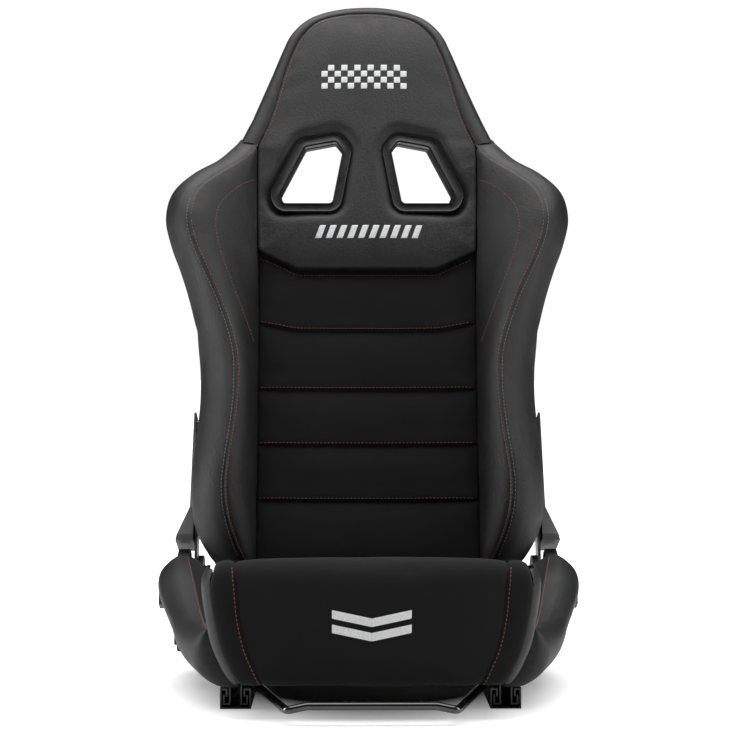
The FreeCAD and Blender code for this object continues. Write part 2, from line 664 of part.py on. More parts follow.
def cover_screws():
    """Pan head screws of the two hinge covers."""
    screws = []
    for _, sign in SIDES:
        for (y, z), face in cover_screw_spots():
            spot = V(face, y, z)
            shank = face - size("plate_x")
            screw = Part.makeCylinder(4, 1.8, spot, X_AXIS)
            screw = screw.fuse(Part.makeCylinder(2, shank, spot - V(shank, 0, 0), X_AXIS))
            for width, height in ((0.9, 4.4), (4.4, 0.9)):
                slot = Part.makeBox(1.2, width, height, spot + V(1, -width / 2, -height / 2))
                screw = screw.cut(slot)
            screws.append(mirrored(screw.removeSplitter(), sign))
    shaped("cover_screws", Part.makeCompound(screws))


def pawl(side, sign):
    """The locking pawl: a tail that the cam lifts, and a head whose teeth face the sector."""
    centre = V(0, size("pivot_y"), size("pivot_z"))
    gap, heel = size("sector_radius") + 0.6, size("sector_radius") + 9
    head = []
    for i in range(7):
        angle = math.radians(172 + 4 * i)
        reach = gap if i % 2 == 0 else gap + 1.6
        head.append(centre + V(0, reach * math.cos(angle), reach * math.sin(angle)))
    for angle in (196, 172):
        turn = math.radians(angle)
        head.append(centre + V(0, heel * math.cos(turn), heel * math.sin(turn)))
    wall = V(size("plate_wall"), 0, 0)
    spot = V(0, size("pawl_y"), size("pawl_z"))
    shape = Part.Face(Part.makePolygon(head + head[:1])).extrude(wall)
    neck = [spot + V(0, -7, 0), spot + V(0, 6, 2), V(0, 121, 104), V(0, 113, 114)]
    shape = shape.fuse(Part.Face(Part.makePolygon(neck + neck[:1])).extrude(wall))
    tail = [spot + V(0, 2, -8.6), spot + V(0, 13, -8.6), spot + V(0, 13, -3), spot + V(0, 2, 4)]
    shape = shape.fuse(Part.Face(Part.makePolygon(tail + tail[:1])).extrude(wall))
    shape = shape.fuse(Part.makeCylinder(8, wall.x, spot, X_AXIS))
    shape = shape.fuse(Part.makeCylinder(3.95, wall.x + 5, spot, X_AXIS)).removeSplitter()
    shape.translate(V(size("arm_x"), 0, 0))
    shaped(f"recliner_pawl_{side}", mirrored(shape, sign))


def release_rod():
    """The cross rod that both levers turn, with the cam finger that lifts each pawl."""
    y, z, reach = size("rod_y"), size("rod_z"), size("cover_x + cover_depth") + 6
    shape = cylinder_x(-reach, y, z, size("rod_radius"), 2 * reach)
    for _, sign in SIDES:
        finger = [V(0, y, z - 4), V(0, y - 15, z - 1), V(0, y - 15, z + 2.6), V(0, y, z + 4)]
        cam = Part.Face(Part.makePolygon(finger + finger[:1])).extrude(V(size("plate_wall"), 0, 0))
        cam.translate(V(size("arm_x"), 0, 0))
        shape = shape.fuse(mirrored(cam, sign))
    shaped("release_rod", shape.removeSplitter())


def recliner_lever(side, sign):
    """The flat steel lever on the end of the rod, and the moulded grip pressed over it."""
    y, z = size("rod_y"), size("rod_z")
    inner = size("cover_x + cover_depth") + 1
    points = [V(0, y + 10, z - 4), V(0, y + 6, z + 10), V(0, y - 14, z + 15), V(0, y - 34, z + 24),
              V(0, y - 36, z + 12), V(0, y - 12, z - 9)]
    lever = slab(points, 3.5, V(4, 0, 0))
    lever.translate(V(inner, 0, 0))
    lever = lever.cut(cylinder_x(inner, y, z, size("rod_radius + 0.01"), 4))
    shaped(f"recliner_lever_{side}", mirrored(lever, sign))
    body = new_body(f"lever_grip_{side}")
    grip = [("rod_y - 36.2", "rod_z + 8"), ("rod_y - 36.2", "rod_z + 27"), ("rod_y - 58", "rod_z + 32"),
            ("rod_y - 62", "rod_z + 26"), ("rod_y - 61", "rod_z + 17")]
    start = "cover_x + cover_depth" if sign > 0 else "-(cover_x + cover_depth) - 20"
    pad(body, outline_sketch(body, "YZ_Plane", grip, start), "20")
    fillet(body, 3, lambda e: along(e, X_AXIS))


# ---------------------------------------------------------------- backrest frame
def upright(*point):
    """A point of the backrest's own frame."""
    return V(*(size(formula) for formula in point))


def back_frame():
    """The welded loop of tube, two cross tubes, and the bosses that the recliner arms bolt to."""
    y, radius = "back_tube_y", size("back_tube_radius")
    right = [upright("back_tube_x", y, "57"), upright("back_tube_x", y, "468"), upright("165", y, "640"),
             upright("head_half - 20", y, "770"), upright("74", y, "832")]
    left = [V(-p.x, p.y, p.z) for p in reversed(right)]
    frame = rod(right + left, 34, radius)
    for height, gauge in ((68, radius), (478, 8)):
        reach = size("back_tube_x")
        frame = frame.fuse(cylinder_x(-reach, size(y), height, gauge, 2 * reach))
    for _, sign in SIDES:
        for height in ("lower_bolt", "upper_bolt"):
            inner, outer = size("back_tube_x + 6"), size("arm_x")
            boss = cylinder_x(inner, size(y), size(height), 8, outer - inner)
            boss = boss.cut(cylinder_x(outer - 14, size(y), size(height), 4.05, 14))
            frame = frame.fuse(mirrored(boss, sign))
    tilt(shaped("back_frame", frame.removeSplitter()))


def arm_bolts():
    """Hexagon bolts that hold each recliner arm on the backrest's frame."""
    bolts = []
    for _, sign in SIDES:
        for height in ("lower_bolt", "upper_bolt"):
            face = size("arm_x + plate_wall")
            spot = V(face, size("back_tube_y"), size(height))
            shank = Part.makeCylinder(4, 16, spot - V(16, 0, 0), X_AXIS)
            bolts.append(mirrored(hex_head(spot, X_AXIS, 7.4, 3.6).fuse(shank).removeSplitter(), sign))
    tilt(shaped("arm_bolts", Part.makeCompound(bolts)))


def back_springs():
    """Five zigzag wires slung across the backrest's frame."""
    reach = size("back_tube_x - back_tube_radius") - 0.8
    turns = 11
    step = V(2 * reach / (turns + 0.5), 0, 0)
    wires = []
    for height in range(110, 431, 80):
        start = V(-reach, size("back_tube_y"), height)
        wires.append(rod(zigzag(start, step, V(0, 0, 16), turns), 5, 1.5))
    tilt(shaped("back_springs", Part.makeCompound(wires)))


# ---------------------------------------------------------------- backrest upholstery
def back_pad():
    """The middle pad of the back, between the bolsters."""
    corners = [("-pad_half", "pad_bottom"), ("pad_half", "pad_bottom"), ("pad_half", "pad_top"),
               ("-pad_half", "pad_top")]
    body = new_body("back_pad")
    pad(body, outline_sketch(body, "XZ_Plane", corners, "-pad_back"), "pad_back - pad_front")
    fillet(body, 12, lambda e: along(e, X_AXIS) and e.BoundBox.ZMax < size("pad_bottom") + 1
           and e.BoundBox.YMax < size("pad_front") + 1)
    tilt(body)


def silhouette():
    """Half of the backrest's outline above the arms, as (x, z) formulas from the shoulder to the crown."""
    return [("shoulder_half - 7", "547"), ("shoulder_half - 32", "578"), ("shoulder_half - 70", "608"),
            ("head_half + 63", "636"), ("head_half + 40", "684"), ("head_half + 13", "745"),
            ("head_half", "781"), ("head_half - 19", "823"), ("head_half - 38", "845"),
            ("head_half - 75", "back_top - 5"), ("30", "back_top")]


def head_pad():
    """The shoulder and head pad, which narrows towards its face, with the two harness slots through it."""
    sections = []
    for depth, inset in (("-pad_back", 0), ("36", 3), ("66", 11)):
        right = [("pad_half", "500"), ("pad_half", "626")]
        right += [(f"{x} - {inset}", f"{z} - {inset * 2 if float(size(z)) > 800 else 0}")
                  for x, z in silhouette()[3:]]
        sections.append((depth, right + [(f"-({x})", z) for x, z in reversed(right)]))
    body = loft("head_pad", "XZ_Plane", sections, True)
    for _, sign in SIDES:
        ends = [outline_sketch(body, "XZ_Plane", slot_outline(sign, depth, size("bezel_wall + 0.4")),
                               str(-depth)) for depth in (-90, 20)]
        slot = body.newObject("PartDesign::SubtractiveLoft", "HarnessSlot")
        slot.Profile, slot.Sections, slot.Ruled = ends[0], ends[1:], True
        doc.recompute()
    tilt(body)


def slot_corners():
    """Corners of the right-hand harness slot: narrow and sloping at the top, wide at the foot."""
    return [(50, 538), (120, 538), (125, 550), (89, 624), (45, 633), (35, 619)]


def slot_direction(depth):
    """The slots run through the back almost level, so they climb as they go to its rear."""
    return V(0, depth, depth * size("slot_lean"))


def slot_outline(sign, depth, grow):
    """The slot's corners at a depth of the back, moved outwards by grow, as (x, z) numbers in text."""
    corners = [V(x, 0, z) for x, z in slot_corners()]
    wire = Part.makePolygon(corners + corners[:1]).makeOffset2D(grow, 2)
    climb = slot_direction(depth - size("slot_plane")).z
    return [(str(sign * v.X), str(v.Z + climb)) for v in wire.OrderedVertexes]


def bolster(side, sign):
    """The side bolster of the back, from the hip past the waist to the shoulder."""
    stations = (
        # height, outline x, ridge x, ridge y, side x at the back
        ("27", "hip_half - 28", 172, -76, 206), ("72", "hip_half - 4", 188, -112, 231),
        ("130", "hip_half", 194, "ridge_reach", 234), ("250", "waist_half", 182, "ridge_reach", 224),
        ("370", "waist_half + 12", 200, "ridge_reach", 236), ("440", "shoulder_half - 22", 228, -138, 257),
        ("505", "shoulder_half", 248, -138, 278), ("560", "shoulder_half - 18", 226, -116, 262),
        ("625", "head_half + 72", 176, -72, 194),
    )
    sections = []
    for height, outer, ridge_x, ridge_y, back_x in stations:
        points = [("pad_half + 1.5", "pad_back"), ("pad_half + 1.5", "pad_front - 1"),
                  (f"{ridge_x} - 12", f"{ridge_y} + 5"), (f"{ridge_x} + 6", str(ridge_y)),
                  (outer, f"({ridge_y}) * 0.55"), (str(back_x), "-20"), (str(back_x), "pad_back")]
        sections.append((height, [(f"{sign} * ({x})", y) for x, y in points]))
    tilt(loft(f"back_bolster_{side}", "XY_Plane", sections))


def back_shell():
    """The rear shell behind the frame, a shallow tray of the backrest's outline."""
    low = [(206, 27), (231, 72), (234, 130), (227, 240), (230, 340), (238, 380), (257, 440), (278, 505)]
    right = [V(x, 0, z) for x, z in low]
    right += [V(size(x) - 3, 0, size(z)) for x, z in silhouette()]
    outline = right + [V(-p.x, 0, p.z) for p in reversed(right)]
    front, back, wall = size("shell_front"), size("shell_back"), size("shell_wall")
    wire = Part.makePolygon(outline + outline[:1])
    shell = Part.Face(wire).extrude(V(0, back - front, 0))
    cavity = Part.Face(wire.makeOffset2D(-wall)).extrude(V(0, back - front - wall, 0))
    shell = shell.cut(cavity)
    shell.translate(V(0, front, 0))
    for _, sign in SIDES:
        hole_outline = slot_outline(sign, front, size("bezel_wall + 0.4"))
        corners = [V(float(x), front, float(z)) for x, z in hole_outline]
        shell = shell.cut(Part.Face(Part.makePolygon(corners + corners[:1])).extrude(slot_direction(60)))
        for height in ("lower_bolt", "upper_bolt"):
            hole = cylinder_x(210, size("back_tube_y"), size(height), 8.6, 40)
            shell = shell.cut(mirrored(hole, sign))
    tilt(shaped("back_shell", shell.removeSplitter()))


def bezel(name, side, sign, face, inward):
    """A moulded ring with a sleeve that lines the harness slot from one side."""
    corners = [V(x, 0, z) for x, z in slot_corners()]
    radius, wall = size("slot_round"), size("bezel_wall")
    inner = rounded_wire(corners, radius * 0.45, closed=True)
    sleeve_wire = inner.makeOffset2D(wall)
    rim_wire = inner.makeOffset2D(size("bezel_width"))
    thick = size("bezel_face")
    reach = inward * (66 - 18 if inward > 0 else 41 + 16)
    rim = Part.Face(rim_wire).extrude(V(0, -inward * thick, 0))
    sleeve = Part.Face(sleeve_wire).extrude(slot_direction(reach))
    ring = rim.fuse(sleeve)
    bore = Part.Face(inner)
    bore.translate(slot_direction(-100))
    ring = ring.cut(bore.extrude(slot_direction(200))).removeSplitter()
    outer_face = -inward * thick
    edges = [e for e in ring.Edges if abs(e.BoundBox.YMin - outer_face) < 1e-3
             and abs(e.BoundBox.YMax - outer_face) < 1e-3]
    ring = ring.makeFillet(2, edges)
    ring.translate(V(0, face, slot_direction(face - size("slot_plane")).z))
    tilt(shaped(f"harness_bezel_{name}_{side}", mirrored(ring, sign)))


def arm_cover(side, sign):
    """The moulded cover of the recliner arm: slim at the top, flared and wide at the foot."""
    inner, wall = size("arm_x + plate_wall") + 0.6, 2.4
    flare, slim = size("cover_x + cover_depth") + 3.5, inner + 3.4
    front, back = size("arm_front") - 12, size("arm_back") + 5

    def block(shrink):
        sections = []
        for height, face, lead in ((56, flare, 14), (64, flare - 1.5, 13), (106, slim + 3, 2),
                                   (244, slim, -8)):
            low = height - (shrink if height == 244 else -shrink if height == 56 else 0)
            a, b, x = front - lead + shrink, back - shrink, face - shrink
            ring = [V(inner, a, low), V(x, a + 5, low), V(x, b - 5, low), V(inner, b, low)]
            sections.append(Part.makePolygon(ring + ring[:1]))
        return Part.makeLoft(sections, True, True)

    shell = block(0).cut(block(wall))
    for height in ("lower_bolt", "upper_bolt"):
        shell = shell.cut(cylinder_x(inner - 1, size("back_tube_y"), size(height), 8.2, 5.4))
    tilt(shaped(f"arm_cover_{side}", mirrored(shell.removeSplitter(), sign)))


# ---------------------------------------------------------------- the whole seat
def build():
    release_bar()
    base_frame()
    rail_bolts()
    seat_springs()
    front_pan()
    cushion_center()
    front_roll()
    base_plate_bolts()
    cover_screws()
    release_rod()
    back_frame()
    arm_bolts()
    back_springs()
    back_pad()
    head_pad()
    back_shell()
    each_side = (lower_rail, upper_rail, ball_race, latch_plate, latch_spring, wing, base_plate, pivot_pin,
                 pivot_cap, recliner_spring, hinge_cover, recliner_arm, pawl, recliner_lever, bolster,
                 arm_cover)
    for side, sign in SIDES:
        for make in each_side:
            make(side, sign)
        bezel("front", side, sign, -66, 1)
        bezel("rear", side, sign, 41, -1)


def check_and_write():
    """Stops at a failed feature or a bad shape, then writes one STEP file per sub-part."""
    doc.recompute()
    for thing in doc.Objects:
        if "Invalid" in thing.State or "Error" in thing.State:
            raise ValueError(f"{thing.Label} ({thing.Name}) failed: {thing.State}")
    for thing in NODES:
        if thing.Shape.isNull() or not thing.Shape.isValid():
            raise ValueError(f"{thing.Label} has no valid shape")
        if not thing.Shape.Solids:
            raise ValueError(f"{thing.Label} holds no solid")
    os.makedirs("parts", exist_ok=True)
    for thing in NODES:
        thing.Shape.exportStep(f"parts/{thing.Label}.step")
    print(len(NODES), "nodes written")


build()
check_and_write()
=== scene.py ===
"""A racing seat: soft panels, seams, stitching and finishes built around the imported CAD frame.

Lengths are millimetres until a mesh is written, where they become metres.  Points of the backrest are
given in its own reclined coordinates: x across, w up along the back, v out of its rear.
"""

import math

import bpy
import numpy as np
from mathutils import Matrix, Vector, noise
from mathutils.bvhtree import BVHTree
from mathutils.kdtree import KDTree


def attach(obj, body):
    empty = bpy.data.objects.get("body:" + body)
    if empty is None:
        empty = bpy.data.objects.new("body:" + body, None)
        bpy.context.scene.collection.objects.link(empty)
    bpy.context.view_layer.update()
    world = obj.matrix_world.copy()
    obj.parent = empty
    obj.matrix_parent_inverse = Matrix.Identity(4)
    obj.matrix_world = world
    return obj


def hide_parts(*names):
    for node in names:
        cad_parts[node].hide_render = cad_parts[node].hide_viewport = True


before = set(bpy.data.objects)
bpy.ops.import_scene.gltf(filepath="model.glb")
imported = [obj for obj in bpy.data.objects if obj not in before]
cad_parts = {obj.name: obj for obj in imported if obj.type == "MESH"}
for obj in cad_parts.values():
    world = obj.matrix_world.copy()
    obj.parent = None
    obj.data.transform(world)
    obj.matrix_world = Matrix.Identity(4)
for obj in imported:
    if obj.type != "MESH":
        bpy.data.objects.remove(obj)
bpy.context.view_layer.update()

MM = 0.001
RECLINE = math.radians(17)
PIVOT_Y, PIVOT_Z = 160, 118
SIDES = (("left", -1), ("right", 1))
FRONT = np.array((0.0, -1.0, 0.0))
UP = np.array((0.0, 0.0, 1.0))


# ---- numbers and curves

def distances(points):
    """How far along a polyline each of its points is."""
    return np.concatenate([[0], np.cumsum(np.linalg.norm(np.diff(points, axis=0), axis=1))])


def length_of(line):
    """A polyline's length."""
    return np.linalg.norm(np.diff(line, axis=0), axis=1).sum()


def both_halves(path):
    """A flat path that ends on the middle line, with its mirror image after it."""
    return np.concatenate([path, path[::-1][1:] * (-1, 1)])


def unit(vectors):
    """Each vector, scaled to a length of one."""
    return vectors / np.maximum(np.linalg.norm(vectors, axis=-1, keepdims=True), 1e-9)


def hermite(start, end, leaving, arriving, span, t):
    """The cubic from start to end that leaves and arrives with the given slopes."""
    return (start * (1 + 2 * t) * (1 - t) ** 2 + leaving * span * t * (1 - t) ** 2
            + end * t * t * (3 - 2 * t) + arriving * span * t * t * (t - 1))


def monotone(xs, ys):
    """A smooth function through the points, with no overshoot between them."""
    xs, ys = np.asarray(xs, float), np.asarray(ys, float)
    step = np.diff(xs)
    slope = np.diff(ys) / step
    tangent = np.zeros_like(ys)
    tangent[0], tangent[-1] = slope[0], slope[-1]
    for i in range(1, len(xs) - 1):
        if slope[i - 1] * slope[i] > 0:
            before, after = 2 * step[i] + step[i - 1], step[i] + 2 * step[i - 1]
            tangent[i] = (before + after) / (before / slope[i - 1] + after / slope[i])

    def at(x):
        x = np.clip(np.asarray(x, float), xs[0], xs[-1])
        i = np.clip(np.searchsorted(xs, x, side="right") - 1, 0, len(step) - 1)
        t = (x - xs[i]) / step[i]
        return hermite(ys[i], ys[i + 1], tangent[i], tangent[i + 1], step[i], t)

    return at


def spread(points, count):
    """count points evenly along a polyline."""
    points = np.asarray(points, float)
    along = distances(points)
    want = np.linspace(0, along[-1], count)
    return np.stack([np.interp(want, along, points[:, k]) for k in range(points.shape[1])], 1)


def spline(points, per_span=24):
    """A Catmull-Rom curve through the points, spaced by their chord lengths."""
    points = np.asarray(points, float)
    knots = distances(points)
    tangents = np.zeros_like(points)
    tangents[1:-1] = (points[2:] - points[:-2]) / (knots[2:] - knots[:-2])[:, None]
    tangents[0] = (points[1] - points[0]) / (knots[1] - knots[0])
    tangents[-1] = (points[-1] - points[-2]) / (knots[-1] - knots[-2])
    pieces = []
    for i in range(len(points) - 1):
        t = np.linspace(0, 1, per_span, endpoint=False)[:, None]
        pieces.append(hermite(points[i], points[i + 1], tangents[i], tangents[i + 1],
                              knots[i + 1] - knots[i], t))
    return np.concatenate(pieces + [points[-1:]])


def smooth_path(points, count):
    """count points evenly along a smooth curve through the points."""
    return spread(spline(points), count)


def knot_rows(knots, count):
    """count rows along knots of any number of columns, evenly spaced by the first two columns."""
    knots = np.array(knots, float)
    path = distances(knots[:, :2])
    curves = [spline(np.column_stack([path, column]), 30) for column in knots.T]
    at = np.linspace(0, path[-1], count)
    return np.stack([np.interp(at, curve[:, 0], curve[:, 1]) for curve in curves], 1)


def by_rows(columns, values, count):
    """Smooth in-between rows of a table: columns are the rows' positions, values their points."""
    columns, values = np.asarray(columns, float), np.asarray(values, float)
    at = np.linspace(columns[0], columns[-1], count)
    flat = values.reshape(len(columns), -1)
    rows = np.stack([monotone(columns, flat[:, k])(at) for k in range(flat.shape[1])], 1)
    return at, rows.reshape((count,) + values.shape[1:])


def crowded(count, ends=0.75):
    """Numbers from 0 to 1 that crowd towards both ends."""
    t = np.linspace(0, 1, count)
    return (1 - ends) * t + ends * (0.5 - 0.5 * np.cos(math.pi * t))


def back(x, w, v):
    """World millimetres of points given in the backrest's own coordinates."""
    x, w, v = np.broadcast_arrays(np.asarray(x, float), w, v)
    c, s = math.cos(RECLINE), math.sin(RECLINE)
    return np.stack([x, PIVOT_Y + w * s + v * c, PIVOT_Z + w * c - v * s], -1)


def on_back(path, v=-60):
    """World points of a flat path at one depth of the backrest."""
    path = np.asarray(path, float)
    return back(path[:, 0], path[:, 1], v)


BACKWARDS = back(0, 0, 1) - back(0, 0, 0)


def coons(bottom, top, left, right, columns=None, rows=None):
    """A surface patch between four edge curves; columns and rows place its grid lines."""
    u = np.linspace(0, 1, len(bottom)) if columns is None else columns
    v = np.linspace(0, 1, len(left)) if rows is None else rows

    def at(edge, t):
        own = np.linspace(0, 1, len(edge))
        return np.stack([np.interp(t, own, edge[:, k]) for k in range(edge.shape[1])], 1)

    bottom, top, left, right = at(bottom, u), at(top, u), at(left, v), at(right, v)
    u, v = u[None, :, None], v[:, None, None]
    corners = ((1 - u) * (1 - v) * bottom[0] + u * (1 - v) * bottom[-1]
               + (1 - u) * v * top[0] + u * v * top[-1])
    return ((1 - v) * bottom[None] + v * top[None]
            + (1 - u) * left[:, None] + u * right[:, None] - corners)


# ---- surfaces

def normals_of(grid, outward):
    """Unit normals of a grid of points, on the side that outward points to."""
    normal = unit(np.cross(np.gradient(grid, axis=1), np.gradient(grid, axis=0)))
    return -normal if np.sum(normal * outward) < 0 else normal


def gap_to(grid, rim, spacing=0.5):
    """Distance of each grid point from a rim polyline."""
    dense = spread(rim, int(length_of(rim) / spacing) + 2)
    tree = KDTree(len(dense))
    for number, spot in enumerate(dense.tolist()):
        tree.insert(spot, number)
    tree.balance()
    gaps = [tree.find(spot)[2] for spot in grid.reshape(-1, 3).tolist()]
    return np.array(gaps).reshape(grid.shape[:2])


def turned_down(gap, radius):
    """0 far from an edge and -1 at it, round like the edge of a stuffed seam."""
    t = np.clip(gap / radius, 0, 1)
    return np.sqrt(np.maximum(1 - (1 - t) ** 2, 0)) - 1


def grain_of(points, size, seed):
    """Smooth random numbers from -1 to 1 over points, with features of that size in mm."""
    shift = Vector((seed * 17.3, seed * 5.1, seed * 9.7))
    flat = points.reshape(-1, 3)
    values = [noise.noise(Vector(p) / size + shift) for p in flat]
    return np.array(values).reshape(points.shape[:-1])


def upholstered(base, outward, height, soft, edges, seed, cap=0, pucker=0.45, waves=0.5):
    """A base grid stuffed outwards: full in the middle, turned down at its sewn edges.

    edges holds (name, drop, radius) for bottom, top, left or right.  soft is how far from an edge the
    filling takes to rise.  Puckers are fine folds along the edges, and waves are broad ones.  With a
    cap, cloth then settles over the filling.
    """
    normal = normals_of(base, outward)
    rims = {"bottom": base[0], "top": base[-1], "left": base[:, 0], "right": base[:, -1]}
    offset = np.zeros(base.shape[:2])
    nearest = np.full(base.shape[:2], 1e9)
    for name, drop, radius in edges:
        gap = gap_to(base, rims[name])
        offset += drop * turned_down(gap, radius)
        nearest = np.minimum(nearest, gap)
    offset += height * (1 - np.exp(-nearest / soft))
    offset += waves * grain_of(base, 55, seed)
    offset += pucker * grain_of(base, 9, seed + 3) * np.exp(-nearest / 9)
    grid = base + normal * offset[..., None]
    return settled(grid, outward, cap) if cap else grid


def grid_faces(rows, columns):
    """The quads between a grid's points."""
    j, i = np.meshgrid(np.arange(rows - 1), np.arange(columns - 1), indexing="ij")
    a = (j * columns + i).ravel()
    return np.stack([a, a + 1, a + columns + 1, a + columns], 1)


def ring_faces(rings, sides, wrap=False):
    """The quads between rings of points; with wrap, the last ring joins the first."""
    j, i = np.meshgrid(np.arange(rings if wrap else rings - 1), np.arange(sides), indexing="ij")
    here, there = j * sides, (j + 1) % rings * sides
    following = (i + 1) % sides
    return np.stack([here + i, here + following, there + following, there + i], -1).reshape(-1, 4)


def capped_faces(rings, sides):
    """The faces of a tube of rings, with a cap on each end."""
    last = (rings - 1) * sides
    caps = [list(reversed(range(sides))), list(range(last, last + sides))]
    return ring_faces(rings, sides).tolist() + caps


def vertex_normals(points, quads):
    """Unit normals of a mesh's points."""
    normal = np.zeros_like(points)
    p = points[quads]
    face = np.cross(p[:, 2] - p[:, 0], p[:, 3] - p[:, 1])
    for k in range(4):
        np.add.at(normal, quads[:, k], face)
    return unit(normal)


def facing(points, quads, outward):
    """The quads, turned over if they face away from outward."""
    return quads[:, ::-1] if np.sum(vertex_normals(points, quads) * outward) < 0 else quads


def placed(name, data):
    """A new object in the scene."""
    thing = bpy.data.objects.new(name, data)
    bpy.context.scene.collection.objects.link(thing)
    return thing


SIM_FRAMES = 20
CELL = 9.0


def thinned(size, line):
    """Which of a grid's rows or columns the coarse copy keeps, from a line that crosses them."""
    count = max(12, min(size, int(length_of(line) / CELL)))
    return np.unique(np.linspace(0, size - 1, count).round().astype(int))


def blown_up(points, quads, held):
    """The points after Blender's cloth has filled their mesh, with the held points kept in place."""
    mesh = bpy.data.meshes.new("cover")
    mesh.from_pydata((points * MM).tolist(), [], quads.tolist())
    cover = placed("cover", mesh)
    cover.vertex_groups.new(name="seams").add(held.tolist(), 1.0, "REPLACE")
    cloth = cover.modifiers.new("filling", "CLOTH")
    settings = cloth.settings
    settings.quality = 6
    settings.mass = 0.3
    settings.tension_stiffness = settings.compression_stiffness = settings.shear_stiffness = 15
    settings.bending_stiffness = 6.0
    settings.use_pressure = True
    settings.uniform_pressure_force = 4.0
    settings.vertex_group_mass = "seams"
    settings.shrink_min = -0.0015
    settings.effector_weights.gravity = 0
    cloth.point_cache.frame_end = SIM_FRAMES
    for number in range(1, SIM_FRAMES + 1):
        bpy.context.scene.frame_set(number)
    moved = cover.evaluated_get(bpy.context.evaluated_depsgraph_get()).to_mesh()
    after = np.empty(len(points) * 3)
    moved.vertices.foreach_get("co", after)
    bpy.data.objects.remove(cover)
    bpy.data.meshes.remove(mesh)
    bpy.context.scene.frame_set(1)
    return after.reshape(-1, 3) / MM


def stretched(values, kept, size):
    """Values known at the kept rows, filled in for every row in between."""
    flat = values.reshape(len(kept), -1)
    filled = np.stack([np.interp(np.arange(size), kept, column) for column in flat.T], 1)
    return filled.reshape((size,) + values.shape[1:])


def settled(grid, outward, cap, sewn_rows=()):
    """The grid after its cover has been blown up by its filling, held along its rim and sewn rows.

    Blender's cloth moves a coarse copy of the grid.  No point may move further than cap millimetres,
    and the moves are spread smoothly back over the fine grid.
    """
    tall, wide = grid.shape[:2]
    kept_rows, kept_columns = thinned(tall, grid[:, wide // 2]), thinned(wide, grid[tall // 2])
    if len(sewn_rows):
        kept_rows = np.unique(np.concatenate([kept_rows, sewn_rows]))
    coarse = grid[kept_rows][:, kept_columns]
    rows, columns = coarse.shape[:2]
    points = coarse.reshape(-1, 3)
    quads = facing(points, grid_faces(rows, columns), outward)
    held = np.zeros((rows, columns), bool)
    held[[0, -1]] = held[:, [0, -1]] = True
    held[np.isin(kept_rows, sewn_rows)] = True
    move = blown_up(points, quads, np.flatnonzero(held.ravel())) - points
    size = np.maximum(np.linalg.norm(move, axis=1, keepdims=True), 1e-9)
    move = (move / size * cap * np.tanh(size / cap)).reshape(rows, columns, 3)
    across = stretched(move.swapaxes(0, 1), kept_columns, wide).swapaxes(0, 1)
    return grid + softened(stretched(across, kept_rows, tall))


def softened(field, rounds=4):
    """A field averaged with its neighbours, its rim kept."""
    for _ in range(rounds):
        middle = (field[:-2, 1:-1] + field[2:, 1:-1] + field[1:-1, :-2] + field[1:-1, 2:]) / 4
        field[1:-1, 1:-1] = 0.4 * field[1:-1, 1:-1] + 0.6 * middle
    return field


def closed_sheet(points, quads, thickness):
    """The sheet's skin, an inner skin behind it and the edge walls between them."""
    inner = points - vertex_normals(points, quads) * thickness
    sides = np.concatenate([quads[:, [k, (k + 1) % 4]] for k in range(4)])
    _, place, counts = np.unique(np.sort(sides, 1), axis=0, return_inverse=True, return_counts=True)
    rim = sides[counts[place.ravel()] == 1]
    n = len(points)
    walls = np.stack([rim[:, 1], rim[:, 0], rim[:, 0] + n, rim[:, 1] + n], 1)
    everything = np.concatenate([quads, quads[:, ::-1] + n, walls])
    used, faces = np.unique(everything, return_inverse=True)
    return np.concatenate([points, inner])[used], faces.reshape(everything.shape)


SKINS = {}
FINISHES = {}


CLOTH = 1.5


def mesh_piece(name, points, faces, finish, body, sharp=55):
    """One visible piece, in metres, with its finish and the body that it rides on."""
    mesh = bpy.data.meshes.new(name)
    mesh.from_pydata((np.asarray(points) * MM).tolist(), [], [list(map(int, f)) for f in faces])
    mesh.validate()
    mesh.update()
    mesh.polygons.foreach_set("use_smooth", [True] * len(mesh.polygons))
    mesh.set_sharp_from_angle(angle=math.radians(sharp))
    piece = placed(name, mesh)
    mesh.materials.append(FINISHES[finish])
    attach(piece, body)
    return piece


def sheet_piece(name, grid, finish, body, sign=1, outward=FRONT, thickness=3.0, keep=None):
    """A closed, upholstered skin made of a grid of points; a sign of -1 makes it the left-hand one."""
    rows, columns = grid.shape[:2]
    points = (grid * (sign, 1, 1)).reshape(-1, 3)
    quads = facing(points, grid_faces(rows, columns), outward * (sign, 1, 1))
    if keep is not None:
        quads = quads[keep(points[quads].mean(1))]
    SKINS[name] = BVHTree.FromPolygons(points.tolist(), quads.tolist())
    closed, faces = closed_sheet(points, quads, thickness)
    piece = mesh_piece(name, closed, faces, finish, body)
    return piece


# ---- finishes

